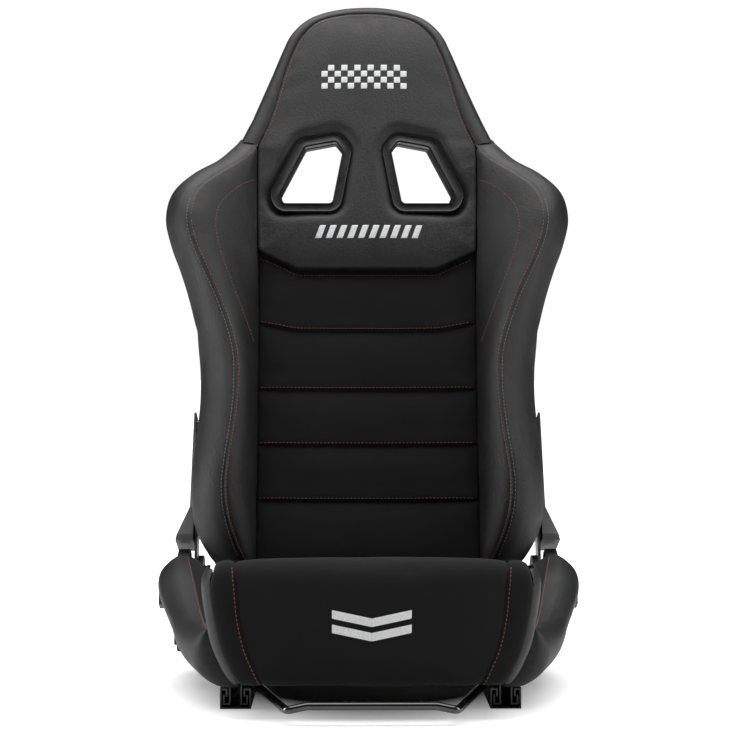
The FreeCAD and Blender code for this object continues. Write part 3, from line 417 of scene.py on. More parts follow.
class Nodes:
    """Shorthand for building one material's node tree."""

    def __init__(self, name):
        self.material = bpy.data.materials.new(name)
        self.material.use_nodes = True
        self.tree = self.material.node_tree
        self.shader = self.tree.nodes["Principled BSDF"]
        self.place = self.add("ShaderNodeTexCoord").outputs["Object"]

    def add(self, kind, **settings):
        node = self.tree.nodes.new(kind)
        for key, value in settings.items():
            if key in node.inputs:
                node.inputs[key].default_value = value
            else:
                setattr(node, key, value)
        return node

    def link(self, a, b):
        self.tree.links.new(a, b)

    def noise(self, scale, detail=3.0, roughness=0.55):
        node = self.add("ShaderNodeTexNoise", Scale=scale, Detail=detail, Roughness=roughness)
        self.link(self.place, node.inputs["Vector"])
        return node.outputs["Fac"]

    def cells(self, scale, feature="DISTANCE_TO_EDGE"):
        node = self.add("ShaderNodeTexVoronoi", feature=feature, Scale=scale)
        self.link(self.place, node.inputs["Vector"])
        return node.outputs["Distance"]

    def between(self, value, low, high, from_low=0.0, from_high=1.0):
        limits = {"From Min": from_low, "From Max": from_high, "To Min": low, "To Max": high}
        node = self.add("ShaderNodeMapRange", **limits)
        self.link(value, node.inputs["Value"])
        return node.outputs["Result"]

    def total(self, a, b, operation="ADD"):
        node = self.add("ShaderNodeMath", operation=operation)
        self.link(a, node.inputs[0])
        self.link(b, node.inputs[1])
        return node.outputs["Value"]

    def colours(self, value, dark, light):
        node = self.add("ShaderNodeMix", data_type="RGBA")
        node.inputs[6].default_value = (*dark, 1)
        node.inputs[7].default_value = (*light, 1)
        self.link(value, node.inputs[0])
        self.link(node.outputs[2], self.shader.inputs["Base Color"])

    def rough(self, value):
        self.link(value, self.shader.inputs["Roughness"])

    def bump(self, value, depth, strength=1.0):
        node = self.add("ShaderNodeBump", Strength=strength, Distance=depth)
        self.link(value, node.inputs["Height"])
        self.link(node.outputs["Normal"], self.shader.inputs["Normal"])

    def fixed(self, **values):
        for key, value in values.items():
            self.shader.inputs[key.replace("_", " ")].default_value = value


def grey(level, warm=0.0):
    """A near-neutral colour, redder when warm is positive."""
    return (level * (1 + warm), level, level * (1 - warm))


def leather(name, dark, light, rough, pebble=780):
    """Fine-grained synthetic leather: pebbled grain, soft colour drift and uneven gloss."""
    n = Nodes(name)
    drift = n.noise(7, 4)
    n.colours(n.between(drift, 0, 1, 0.3, 0.7), grey(dark, -0.02), grey(light, -0.02))
    pebbles = n.between(n.cells(pebble), 0, 0.45, 0.0, 0.35)
    mottle = n.between(n.noise(290, 3), 0, 1.3)
    n.bump(n.total(pebbles, mottle), 0.00042, 0.85)
    n.rough(n.between(n.noise(30, 5), rough - 0.05, rough + 0.07, 0.3, 0.7))
    n.fixed(Specular_IOR_Level=0.42)
    return n.material


def suede(name, dark, light):
    """Short-napped suede: brushed patches, fuzzy sheen, no gloss."""
    n = Nodes(name)
    nap = n.total(n.between(n.noise(12, 6, 0.65), 0, 0.7, 0.25, 0.75),
                  n.between(n.noise(420, 3), 0, 0.3))
    n.colours(nap, grey(dark), grey(light))
    n.bump(n.total(n.noise(1500, 3), n.noise(5200, 2)), 0.00035, 0.6)
    n.rough(n.between(n.noise(25, 3), 0.88, 0.98))
    n.fixed(Specular_IOR_Level=0.15, Sheen_Weight=0.06, Sheen_Roughness=0.5)
    n.shader.inputs["Sheen Tint"].default_value = (0.8, 0.8, 0.82, 1)
    return n.material


def moulded(name, level, rough, depth=0.00012):
    """Moulded plastic with a fine spark-eroded texture."""
    n = Nodes(name)
    n.colours(n.noise(18, 4), grey(level * 0.85), grey(level * 1.2))
    n.bump(n.total(n.cells(1500, "F1"), n.noise(2400, 2)), depth, 0.5)
    n.rough(n.between(n.noise(40, 4), rough - 0.06, rough + 0.06, 0.3, 0.7))
    n.fixed(Specular_IOR_Level=0.5)
    return n.material


def painted(name, level, rough, coat, orange_peel=0.00006):
    """Powder coat or e-coat over steel: slight orange peel and handling marks."""
    n = Nodes(name)
    n.colours(n.noise(26, 5), grey(level * 0.8), grey(level * 1.3))
    n.bump(n.noise(420, 3), orange_peel, 0.6)
    n.rough(n.between(n.noise(60, 6, 0.7), rough - 0.05, rough + 0.12, 0.35, 0.75))
    n.fixed(Metallic=0.0, Specular_IOR_Level=0.55, Coat_Weight=coat, Coat_Roughness=0.12)
    return n.material


def bare_metal(name, level, rough, warm=0.0, cell=95):
    """Plated or oiled steel: crystalline patches and fine scratches."""
    n = Nodes(name)
    patches = n.total(n.between(n.cells(cell, "F1"), 0, 0.6), n.between(n.noise(300, 4), 0, 0.5))
    n.colours(patches, grey(level * 0.75, warm), grey(level * 1.15, warm))
    n.bump(n.noise(1400, 4), 0.00005, 0.5)
    n.rough(n.between(patches, rough - 0.06, rough + 0.1))
    n.fixed(Metallic=1.0)
    return n.material


def thread(name, colour, rough=0.55):
    """Twisted sewing thread."""
    n = Nodes(name)
    dark = tuple(0.72 * c for c in colour)
    n.colours(n.between(n.noise(900, 2), 0, 1, 0.35, 0.65), dark, colour)
    n.bump(n.noise(3200, 1), 0.0002, 0.7)
    n.rough(n.between(n.noise(700, 1), rough - 0.05, rough + 0.05))
    n.fixed(Sheen_Weight=0.25)
    return n.material


FINISHES.update(
    pu=leather("pu_leather", 0.009, 0.013, 0.42),
    # Painted shade: a darker, rougher copy of the pu leather for the roll gussets, its darker colours
    # standing in for shade.
    pu_light=leather("pu_leather_gusset", 0.006, 0.009, 0.48),
    suede=suede("suede", 0.006, 0.011),
    shell=leather("shell_cover", 0.010, 0.014, 0.5, pebble=620),
    plastic=moulded("black_plastic", 0.019, 0.45),
    bezel=moulded("bezel_plastic", 0.010, 0.30, 0.00006),
    rail=painted("rail_steel", 0.008, 0.32, 0.25),
    gloss=painted("black_paint", 0.005, 0.14, 0.9, 0.00003),
    zinc=bare_metal("zinc_steel", 0.55, 0.38),
    spring=bare_metal("spring_steel", 0.16, 0.34, cell=400),
    ball=bare_metal("ball_steel", 0.75, 0.12, cell=900),
    nylon=moulded("cage_nylon", 0.32, 0.55),
    red_thread=thread("red_thread", (0.27, 0.05, 0.042)),
    grey_thread=thread("grey_thread", (0.17, 0.165, 0.165)),
    white_thread=thread("white_thread", (0.86, 0.86, 0.87), 0.5),
)
CAD_FINISH = {"rail_steel": "rail", "zinc_steel": "zinc", "black_paint": "gloss", "spring_steel": "spring",
              "ball_steel": "ball", "cage_nylon": "nylon", "shell_cover": "shell",
              "black_plastic": "plastic", "suede": "suede", "pu_leather": "pu"}


# ---- the backrest's shape

# From the hip to the shoulder: seam x, w, v, then outline x, w, v, and the outline's x at the rear.
BOLSTER_KNOTS = (
    (165, 12, -62, 197, 14, -34, 201), (177, 32, -84, 214, 30, -46, 207),
    (191, 72, -112, 235, 72, -62, 231), (195, 110, -126, 239, 110, -69, 234),
    (191, 150, -132, 238, 150, -72, 233), (184, 200, -132, 232, 200, -72, 228),
    (180, 250, -132, 228, 250, -72, 224), (183, 305, -132, 231, 308, -72, 227),
    (204, 372, -132, 240, 370, -72, 236), (231, 432, -137, 260, 438, -75, 255),
    (245, 470, -138, 274, 475, -76, 269), (248, 503, -137, 283, 510, -74, 277),
    (238, 538, -127, 277, 547, -66, 271), (214, 565, -114, 252, 577, -58, 247),
    (180, 597, -92, 216, 606, -46, 212), (157, 627, -72, 189, 637, -36, 187),
    (154, 634, -68, 184, 645, -34, 183),
)
# From the shoulder over the crown: seam x, w, v, then outline x, w.
HEAD_KNOTS = (
    (157, 627, -72, 188, 636), (137, 674, -71, 167, 680), (118, 741, -70, 139, 744),
    (106, 775, -70, 126, 779), (93, 801, -70, 109, 818), (70, 822, -69, 84, 846),
    (36, 832, -69, 44, 860), (0, 834.5, -69, 0, 864),
)
# Where the side turns into the crown, on the head's panel and on the rear cover.
HEAD_TURN, REAR_TURN = (93, 801), (107, 814)
SEAM_X = 153
inner_x = monotone((12, 430, 480, 626), (SEAM_X, SEAM_X, 155, 157))
inner_v = monotone((12, 45, 430, 470, 560, 626), (-42, -53, -53, -60, -65, -69))
panel_v = monotone((441, 520, 640, 760, 835), (-63, -66, -69, -70, -68))
PANEL_SIDE = ((154, 467), (155.5, 520), (156.5, 580))
CHEVRON_LIP = ((-154, 467), (-102, 442), (-96, 441), (96, 441), (102, 442), (154, 467))
CHEVRON_SEAM = ((-SEAM_X, 363), (-107, 354), (-98, 353), (98, 353), (107, 354), (SEAM_X, 363))
INSERT_SEAMS = (266, 186, 107)
INSERT_FOOT = 12
SLOT_CORNERS = ((50, 538), (120, 538), (125, 550), (89, 624), (45, 633), (35, 619))


def rounded_ring(corners, radius, per_corner=10, spacing=3.0):
    """A closed ring with rounded corners, as points and outward normals in its plane."""
    corners = np.asarray(corners, float)
    points = []
    for before, corner, after in zip(np.roll(corners, 1, 0), corners, np.roll(corners, -1, 0)):
        into, out = unit(before - corner), unit(after - corner)
        half = math.acos(np.dot(into, out)) / 2
        room = 0.42 * min(np.linalg.norm(before - corner), np.linalg.norm(after - corner))
        reach = min(radius / math.tan(half), room)
        own_radius = reach * math.tan(half)
        middle = corner + unit(into + out) * own_radius / math.sin(half)
        start, end = (math.atan2(*(corner + way * reach - middle)[::-1]) for way in (into, out))
        turn = (end - start + math.pi) % (2 * math.pi) - math.pi
        for angle in start + turn * np.linspace(0, 1, per_corner):
            points.append(middle + own_radius * np.array((math.cos(angle), math.sin(angle))))
    ring = np.array(points + points[:1])
    ring = spread(ring, int(length_of(ring) / spacing) + 1)[:-1]
    direction = np.roll(ring, -1, 0) - np.roll(ring, 1, 0)
    normal = unit(np.stack([direction[:, 1], -direction[:, 0]], 1))
    return ring, -normal if np.sum(normal * (ring - ring.mean(0))) < 0 else normal


def inside(points, ring):
    """Which 2-D points lie inside a closed ring."""
    x, y = points[:, 0], points[:, 1]
    hit = np.zeros(len(points), bool)
    for (x0, y0), (x1, y1) in zip(ring, np.roll(ring, -1, 0)):
        crosses = (y0 > y) != (y1 > y)
        with np.errstate(divide="ignore", invalid="ignore"):
            at = x0 + (y - y0) / (y1 - y0) * (x1 - x0)
        hit ^= crosses & (x < at)
    return hit


def ring_gap(points, ring):
    """Signed distance of 2-D points from a ring, positive outside it."""
    best = np.full(len(points), 1e9)
    for a, b in zip(ring, np.roll(ring, -1, 0)):
        edge = b - a
        t = np.clip(((points - a) @ edge) / (edge @ edge), 0, 1)
        best = np.minimum(best, np.linalg.norm(points - a - t[:, None] * edge, axis=1))
    return np.where(inside(points, ring), -best, best)


def to_back(points):
    """Backrest coordinates (x, w, v) of world points."""
    c, s = math.cos(RECLINE), math.sin(RECLINE)
    y, z = points[..., 1] - PIVOT_Y, points[..., 2] - PIVOT_Z
    return np.stack([points[..., 0], y * s + z * c, y * c - z * s], -1)


SLOT_RADIUS = 6
SLOT_RING, _ = rounded_ring(SLOT_CORNERS, SLOT_RADIUS)
SLOT_CUT = 8  # how far outside a slot's ring the covers end
SLOT_LEAN, SLOT_PLANE = 0.36, 66  # the slots climb towards the rear, from this depth
BEZEL_WIDTH = 14


def slot_gap(local, lean=0.0):
    """Signed distance of backrest points from the slot on their side, positive outside it."""
    climb = lean * (local[..., 2] + SLOT_PLANE)
    flat = np.stack([np.abs(local[..., 0]), local[..., 1] - climb], -1).reshape(-1, 2)
    return ring_gap(flat, SLOT_RING).reshape(local.shape[:-1])


def lofted(sections, count):
    """A grid through sections, each a few points in backrest coordinates."""
    rows = np.array([smooth_path(points, count) for points in sections])
    return back(*np.moveaxis(rows, -1, 0))


def upper_panel():
    """The shoulder and head panel, with its thick lower lip and the dips round the harness slots."""
    head = smooth_path([(x, w) for x, w, *_ in HEAD_KNOTS], 200)
    turn = np.argmin(np.linalg.norm(head - HEAD_TURN, axis=1))
    side = np.concatenate([PANEL_SIDE, head[:turn + 1]])
    bottom, right = spread(CHEVRON_LIP, 120), spread(side, 160)
    top = spread(both_halves(head[turn:])[::-1], 120)
    plan = coons(bottom, top, right * (-1, 1), right, crowded(124, 0.35), crowded(170, 0.55))
    x, w = plan[..., 0], plan[..., 1]
    v = panel_v(w) - 2.5 * (1 - np.clip(np.abs(x) / 150, 0, 1) ** 2)
    base = back(x, w, v)
    edges = (("bottom", 10, 4.5), ("left", 1.6, 3), ("right", 1.6, 3), ("top", 2.2, 4))
    grid = upholstered(base, FRONT, 5.5, 26, edges, 1, 2.5, waves=0.8)
    local = to_back(grid)
    gap = slot_gap(local) - BEZEL_WIDTH
    dip = 10 * np.exp(-np.clip(gap + 4, 0, None) ** 2 / 90)
    grid = back(local[..., 0], local[..., 1], local[..., 2] + dip)
    piece = sheet_piece("back_upper_panel", grid, "pu", "backrest",
                        keep=lambda centres: slot_gap(to_back(centres)) > SLOT_CUT)
    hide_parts("head_pad")


def insert_seams():
    """The insert's sewn lines from the foot to the lip, each as w over x."""
    def line(points):
        xs, ws = zip(*points)
        return lambda x: np.interp(x, xs, ws)

    seams = [line([(-SEAM_X, INSERT_FOOT), (SEAM_X, INSERT_FOOT)])]
    seams += [line([(-SEAM_X, w), (SEAM_X, w)]) for w in reversed(INSERT_SEAMS)]
    seams.append(line(CHEVRON_SEAM))
    seams.append(line([(x, w + 7) for x, w in CHEVRON_LIP]))
    return seams


def insert():
    """The suede insert: five channels, each lapped over the one below it."""
    x = SEAM_X * (2 * crowded(110, 0.3) - 1)
    seams = insert_seams()
    channel = 45
    rows = []
    for k, (lower, upper) in enumerate(zip(seams, seams[1:])):
        low, high = lower(x), upper(x)
        lapped = min(k, 1)  # the lowest channel has none below it to lap over
        for t in crowded(channel + 1, 0.8)[lapped:]:
            above, below = t * (high - low), (1 - t) * (high - low)
            lap = lapped * 4.5 * np.exp(-(above / 15) ** 2) * np.sqrt(np.clip(above / 3.0, 0, 1))
            belly = 5.5 * (1 - np.exp(-above / 20)) * (1 - np.exp(-below / 16))
            tuck = -1.4 * np.exp(-below / 4) - lapped * 1.6 * np.exp(-above / 1.6)
            rows.append(np.stack([x, low + above, lap + belly + tuck], 1))
    rows = np.array(rows)
    edge = SEAM_X - np.abs(rows[..., 0])
    relief = rows[..., 2] * (1 - np.exp(-edge / 9)) + 1.6 * turned_down(edge, 3)
    foot = 14 * turned_down(rows[..., 1] - INSERT_FOOT, 14)
    v = -51 + 3 * (1 - (rows[..., 0] / SEAM_X) ** 2) - relief - foot
    grid = back(rows[..., 0], rows[..., 1], v)
    grid += BACKWARDS * (0.7 * grain_of(grid, 45, 8) + 0.25 * grain_of(grid, 12, 9))[..., None]
    grid = settled(grid, FRONT, 3, sewn_rows=np.arange(1, len(seams) - 1) * channel)
    piece = sheet_piece("back_insert", grid, "suede", "backrest")
    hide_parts("back_pad")


def bolster(side, sign):
    """The bolster's inner panel, up to the ridge seam, and its border panel round to the rear."""
    rows = knot_rows(BOLSTER_KNOTS, 230)
    seam = rows[:, :3]
    low, high = seam[0, 1], 622
    w = np.linspace(low, high, len(rows))
    start = np.stack([inner_x(w), w, inner_v(w)], 1)
    keep = seam[:, 0] - start[:, 0] > 2.5
    seam, start = seam[keep], start[keep]
    u = crowded(44, 0.4)[None, :]
    steep = monotone((12, 330, 440, 560, 627), (1, 1, 0.55, 0.35, 0.3))(seam[:, 1])[:, None]
    arc = np.sin(math.pi / 2 * u)
    rise = steep * arc ** 0.85 + (1 - steep) * (0.75 * u + 0.25 * arc)
    shares = np.stack([np.broadcast_to(u, rise.shape)] * 2 + [rise], -1)
    points = start[:, None] + (seam - start)[:, None] * shares
    base = back(*np.moveaxis(points, -1, 0))
    edges = (("left", 1.6, 3), ("right", 2.4, 4.5))
    grid = upholstered(base, FRONT, 4.5, 22, edges, 11, 2.5, waves=0.9)
    inner = sheet_piece(f"back_bolster_inner_{side}", grid, "pu", "backrest", sign)
    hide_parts(f"back_bolster_{side}")

    sections = []
    for sx, sw, sv, ox, ow, ov, bx in rows:
        across, up, deep = ox - sx, ow - sw, ov - sv
        sections.append([(sx, sw, sv), (sx + 0.45 * across, sw + 0.45 * up, sv + 0.17 * deep),
                         (sx + 0.82 * across, sw + 0.82 * up, sv + 0.52 * deep), (ox, ow, ov),
                         (bx + 1.5, ow, -24), (bx, ow, 3.5)])
    base = lofted(sections, 40)
    edges = (("left", 2.4, 4.5), ("right", 3, 6), ("bottom", 3, 6))
    outwards = np.array((1.0, -1.0, 0.0))
    grid = upholstered(base, outwards, 2.2, 16, edges, 21, 3, waves=0.7)
    sheet_piece(f"back_bolster_border_{side}", grid, "pu", "backrest", sign, outwards)


def crown_share_at(height):
    """0 along the head's sides, rising to 1 over its crown."""
    return min(max((height - 790) / 35, 0), 1)


def head_border():
    """The border strip that wraps the head's edge from shoulder to shoulder."""
    knots = np.array(HEAD_KNOTS, float)
    whole = np.concatenate([knots, knots[::-1][1:] * (-1, 1, 1, -1, 1)])
    sections = []
    for sx, sw, sv, ox, ow in knot_rows(whole, 330):
        across, up = ox - sx, ow - sw
        crown = crown_share_at(sw)
        points = [(sx, sw, sv)]
        for side_share, crown_share, depth in ((0.34, 0.16, sv + 1.0), (0.66, 0.42, sv + 8.5),
                                               (0.88, 0.72, -38), (0.99, 0.9, -14), (0.98, 0.94, 3.5)):
            share = side_share + (crown_share - side_share) * crown
            points.append((sx + share * across, sw + share * up, depth))
        sections.append(points)
    base = lofted(sections, 34)
    edges = (("left", 2.4, 4.5), ("right", 2.5, 6))
    grid = upholstered(base, FRONT, 1.8, 12, edges, 31, 2, waves=0.5)
    sheet_piece("head_border", grid, "pu", "backrest")


REAR_FRONT, REAR_BACK, REAR_ROUND = 5, 41, 18
REAR_GROOVE = 452


def rear_outline():
    """The right-hand edge of the rear cover, from the hip to the middle of the crown."""
    hip = [(x, w) for *_, w, _, x in BOLSTER_KNOTS[:-1]]
    head = []
    for sx, sw, _, ox, ow in HEAD_KNOTS:
        rise = 0.98 - 0.04 * crown_share_at(sw)
        head.append((sx + 0.98 * (ox - sx), sw + rise * (ow - sw)))
    return smooth_path(hip + head[1:], 420)


def rear_cover():
    """The leather cover stretched over the rear shell, round at its rim, with the slots cut through it."""
    outline = rear_outline()
    turn = np.argmin(np.linalg.norm(outline - REAR_TURN, axis=1))
    right, top = outline[:turn + 1], both_halves(outline[turn:])[::-1]
    bottom = spread([(-right[0, 0], right[0, 1]), right[0]], 160)
    plan = coons(bottom, top, right * (-1, 1), right, crowded(170, 0.85), crowded(240, 0.8))
    x, w = plan[..., 0], plan[..., 1]
    flat = np.stack([x, w, np.zeros_like(x)], -1)
    rim = np.concatenate([flat[:, 0], flat[-1], flat[::-1, -1], flat[0, ::-1]])
    gap = gap_to(flat, rim)
    gap[[0, -1]] = gap[:, [0, -1]] = 0
    rise = 1 + turned_down(gap, REAR_ROUND)
    v = REAR_FRONT + (REAR_BACK - REAR_FRONT) * rise
    v = v + (0.5 * grain_of(flat, 70, 71) - 1.6 * np.exp(-((w - REAR_GROOVE) / 2.2) ** 2)) * rise
    grid = back(x, w, v)
    piece = sheet_piece("back_rear_cover", grid, "shell", "backrest", outward=BACKWARDS,
                        keep=lambda centres: slot_gap(to_back(centres), SLOT_LEAN) > SLOT_CUT)
    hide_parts("back_shell")

    edge = shifted(spread(both_halves(outline), 520), -0.9)
    points, faces = tube(on_back(edge, REAR_FRONT - 0.8), 3.0)
    mesh_piece("back_rear_piping", points, faces, "pu", "backrest")


def tube(path, radius, sides=10):
    """Points and faces of a round, capped cord along a path."""
    ahead = unit(np.gradient(path, axis=0))
    across = unit(np.cross(ahead, BACKWARDS))
    up = np.cross(across, ahead)
    turn = np.linspace(0, 2 * math.pi, sides, endpoint=False)[None, :, None]
    rings = path[:, None] + radius * (np.cos(turn) * across[:, None] + np.sin(turn) * up[:, None])
    return rings.reshape(-1, 3), capped_faces(len(path), sides)


def seam_tape(side, sign):
    """The cloth behind the long seam between the centre panels and a bolster."""
    w = np.linspace(INSERT_FOOT, 632, 120)
    offsets = np.linspace(-10, 9, 9)
    x = inner_x(w)[:, None] + offsets[None]
    grid = back(x, w[:, None], np.minimum(inner_v(w) + 8, -38)[:, None])
    sheet_piece(f"back_seam_tape_{side}", grid, "suede", "backrest", sign, thickness=CLOTH)


def underside():
    """The panel that closes the foot of the backrest, filled so that it hangs down behind the cushion."""
    xs = np.linspace(-197, 197, 90)
    front = monotone((0, 140, 153, 165, 180, 197), (-38, -38, -40, -58, -48, -30))(np.abs(xs))
    foot = monotone((0, 153, 165, 197), (13, 13, 14, 16))(np.abs(xs))
    sag = monotone((0, 130, 165, 197), (25, 23, 7, 3))(np.abs(xs))
    t = np.linspace(0, 1, 24)[:, None]
    belly = np.sin(math.pi * t) ** 0.7
    grid = back(xs[None, :], foot[None, :] + 2 - sag[None, :] * belly, front[None, :] * (1 - t) + 3.5 * t)
    sheet_piece("back_underside", grid, "pu", "backrest", outward=-UP)


def bezel(side, sign):
    """The moulded ring round a harness slot, with a raised bead along its outer and inner edge."""
    profile = ((0.0, -20), (0.0, -69.5), (0.4, -72.0), (1.2, -73.0), (2.0, -72.9), (2.8, -71.4), (6.8, -70.8),
               (10.8, -71.2), (11.7, -73.2), (12.8, -73.5), (13.6, -72.5), (14.0, -70.5), (14.0, -63),
               (12.4, -62), (12.0, -68.5), (4.0, -68.6), (2.5, -66), (2.5, -20))
    ring, normal = rounded_ring(SLOT_CORNERS, SLOT_RADIUS, spacing=2.0)
    grid = []
    for offset, v in profile:
        spot = ring + normal * offset
        climb = SLOT_LEAN * max(0, v + 69)
        grid.append(back(spot[:, 0] * sign, spot[:, 1] + climb, v))
    quads = ring_faces(len(profile), len(ring), wrap=True)[:, ::-sign]
    points = np.concatenate(grid)
    piece = mesh_piece(f"harness_bezel_{side}", points, quads, "bezel", "backrest", sharp=40)
    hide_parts(f"harness_bezel_front_{side}")


# ---- the cushion's shape

# The roll's seam, outer edge and top corner are points (x, z).
ROLL_FRONT, ROLL_BACK, ROLL_TOP, ROLL_FOOT = -302, -223, 187, 41
ROLL_SEAM = ((128.5, 41), (135, 54), (149, 87), (157, 125), (160, 157), (163, 187))
ROLL_EDGE = ((160, 41), (168, 58), (179.5, 84), (187.5, 116), (192.5, 147), (193.5, 166), (190.5, 179))
ROLL_CORNER = ((163, 187), (172, 187), (181, 185.6), (187, 182.6), (190.5, 179))


def on_roll(path):
    """World points of a flat path in the plane of the roll's front."""
    return np.column_stack([path[:, 0], np.full(len(path), ROLL_FRONT), path[:, 1]])


def roll_depth(x, z, top):
    """The roll's front face: bowed, with a soft round top and foot."""
    bow = ROLL_FRONT - 4 + 9 * (x / 190) ** 2
    crown = 25 * -turned_down(np.clip(top - z, 0, None), 25)
    foot = 14 * -turned_down(np.clip(z - ROLL_FOOT, 0, None), 15)
    return bow + crown + foot


def with_back_rows(grid, count=20, drop=9):
    """The grid with rows added that run from its top edge to the roll's back."""
    edge = grid[-1]
    t = np.linspace(0, 1, count)[1:, None]
    y = edge[None, :, 1] * (1 - t) + ROLL_BACK * t
    z = edge[None, :, 2] - drop * t ** 2
    x = np.broadcast_to(edge[None, :, 0], y.shape)
    return np.concatenate([grid, np.stack([x, y, z], -1)])


def roll_centre(seam):
    """The roll's suede centre."""
    count = 100
    left = seam * (-1, 1)
    bottom, top = spread([left[0], seam[0]], count), spread([left[-1], seam[-1]], count)
    plan = coons(bottom, top, left, seam, crowded(count, 0.3), crowded(90, 0.6))
    x, z = plan[..., 0], plan[..., 1]
    base = with_back_rows(np.stack([x, roll_depth(x, z, ROLL_TOP), z], -1))
    edges = (("left", 3.0, 6), ("right", 3.0, 6), ("bottom", 3, 8))
    grid = upholstered(base, FRONT, 3.5, 24, edges, 41, 4, waves=0.9, pucker=0.5)
    piece = sheet_piece("roll_centre", grid, "suede", "seat_base")
    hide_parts("cushion_front_roll")


def roll_side(side, sign, seam, outer):
    """The suede side of the roll, outside its seam, and the tape behind the seam."""
    corner = smooth_path(ROLL_CORNER, 40)
    bottom = spread([seam[0], outer[0]], 30)
    plan = coons(bottom, corner, seam, outer, crowded(30, 0.4), crowded(90, 0.6))
    x, z = plan[..., 0], plan[..., 1]
    base = with_back_rows(np.stack([x, roll_depth(x, z, plan[-1:, :, 1]), z], -1))
    edges = (("left", 3.0, 6), ("right", 6.5, 10), ("bottom", 3, 8))
    grid = upholstered(base, FRONT, 2.6, 20, edges, 43, 2, waves=0.7, pucker=0.5)
    sheet_piece(f"roll_side_{side}", grid, "suede", "seat_base", sign)

    tape = np.stack([np.column_stack([seam[:, 0] + offset, np.zeros(len(seam)), seam[:, 1]])
                     for offset in np.linspace(-7, 7, 9)], 1)
    tape[..., 1] = roll_depth(tape[..., 0], tape[..., 2], ROLL_TOP - 3) + 6.5
    sheet_piece(f"roll_seam_tape_{side}", with_back_rows(tape), "suede", "seat_base", sign,
                thickness=CLOTH)


def roll_gusset(side, sign, outer):
    """The leather strip that runs back from the roll's outer edge."""
    swell_at = monotone((36, 60, 90, 120, 160, 179), (6, 11, 11, 10, 9.5, 7))
    depth = roll_depth(outer[:, 0], outer[:, 1], ROLL_EDGE[-1][1] + 2.0)
    rows = []
    for x, y, z in zip(outer[:, 0], np.maximum(depth, ROLL_FRONT + 5) + 4, outer[:, 1]):
        swell = float(swell_at(z))
        points = [(x - 0.5, y, z), (x + 0.62 * swell, y + 10, z), (x + swell, y + 30, z),
                  (x + swell + 1, y + 50, z), (x + swell, ROLL_BACK + 4, z)]
        rows.append(smooth_path(points, 26))
    outwards = np.array((1.0, -0.4, 0))
    edges = (("left", 1.5, 4), ("right", 2, 5))
    grid = upholstered(np.array(rows), outwards, 0.8, 10, edges, 45, waves=0.3, pucker=0.4)
    # The gusset's leather is the darker copy of pu, its darkness painted shade.
    sheet_piece(f"roll_gusset_{side}", grid, "pu_light", "seat_base", sign, outwards, thickness=2.0)


def roll():
    """The front roll: a suede centre, two suede sides and the leather gussets round their edges."""
    seam, outer = smooth_path(ROLL_SEAM, 90), smooth_path(ROLL_EDGE, 90)
    roll_centre(seam)
    for side, sign in SIDES:
        roll_side(side, sign, seam, outer)
        roll_gusset(side, sign, outer)


def roll_rear(side, sign):
    """The cloth that closes the roll's rear beside the sitting pad."""
    edge_x = monotone([z for _, z in ROLL_EDGE], [x for x, _ in ROLL_EDGE])
    crest = monotone([x for x, _ in ROLL_CORNER], [z for _, z in ROLL_CORNER])
    inner, low = 140, ROLL_FOOT + 2
    u, t = np.meshgrid(np.linspace(0, 1, 30), np.linspace(0, 1, 60))
    height = ROLL_FOOT + (ROLL_EDGE[-1][1] - ROLL_FOOT) * t
    x = inner + (edge_x(height) + 6 - inner) * u
    z = low + (crest(x) - 9 - low) * t
    grid = np.stack([x, np.full_like(x, ROLL_BACK + 0.5), z], -1)
    sheet_piece(f"roll_rear_{side}", grid, "suede", "seat_base", sign, -FRONT, CLOTH)


def roll_underside():
    """The cloth that closes the roll's foot and the recess behind it."""
    path = spread([(-291, 43.5), (-279, 42.5), (-277, 56), (-270, 59), (-226, 60)], 40)
    x, y = np.meshgrid(np.linspace(-158, 158, 60), path[:, 0])
    grid = np.stack([x, y, np.broadcast_to(path[:, 1:], x.shape)], -1)
    sheet_piece("roll_underside", grid, "suede", "seat_base", outward=-UP)


WING_STATIONS = (-224, -221, -215, -201, -150, -100, -50, 0, 58)
# At each station: inner top, inner middle, ridge, crown, outer, outer low, low, inner low.
WING_SECTIONS = (
    ((152, 150), (174, 141), (196, 104), (195, 99), (192, 89), (184, 67), (173, 46), (160, 29)),
    ((152, 150), (175, 141), (197, 104), (202, 97), (205, 82), (200, 57), (188, 40), (172, 28)),
    ((152, 150), (176, 140), (198, 103), (206, 96), (213, 76), (208, 52), (196, 38), (183, 29)),
    ((152, 148), (178, 136), (201, 106), (211, 99), (220, 78), (216, 56), (203, 41), (188, 31)),
    ((152, 134), (180, 122), (208, 111), (226, 105), (239, 86), (233, 64), (215, 46), (193, 39)),
    ((152, 120), (184, 115), (215, 121), (235, 118), (250, 101), (245, 80), (228, 62), (202, 56)),
    ((152, 112), (188, 116), (223, 138), (245, 135), (262, 117), (258, 101), (242, 95), (207, 92)),
    ((152, 108), (190, 121), (231, 156), (252, 154), (272, 135), (270, 112), (256, 97), (212, 94)),
    ((152, 104), (192, 127), (239, 168), (257, 167), (278, 146), (277, 118), (262, 99), (216, 96)),
)


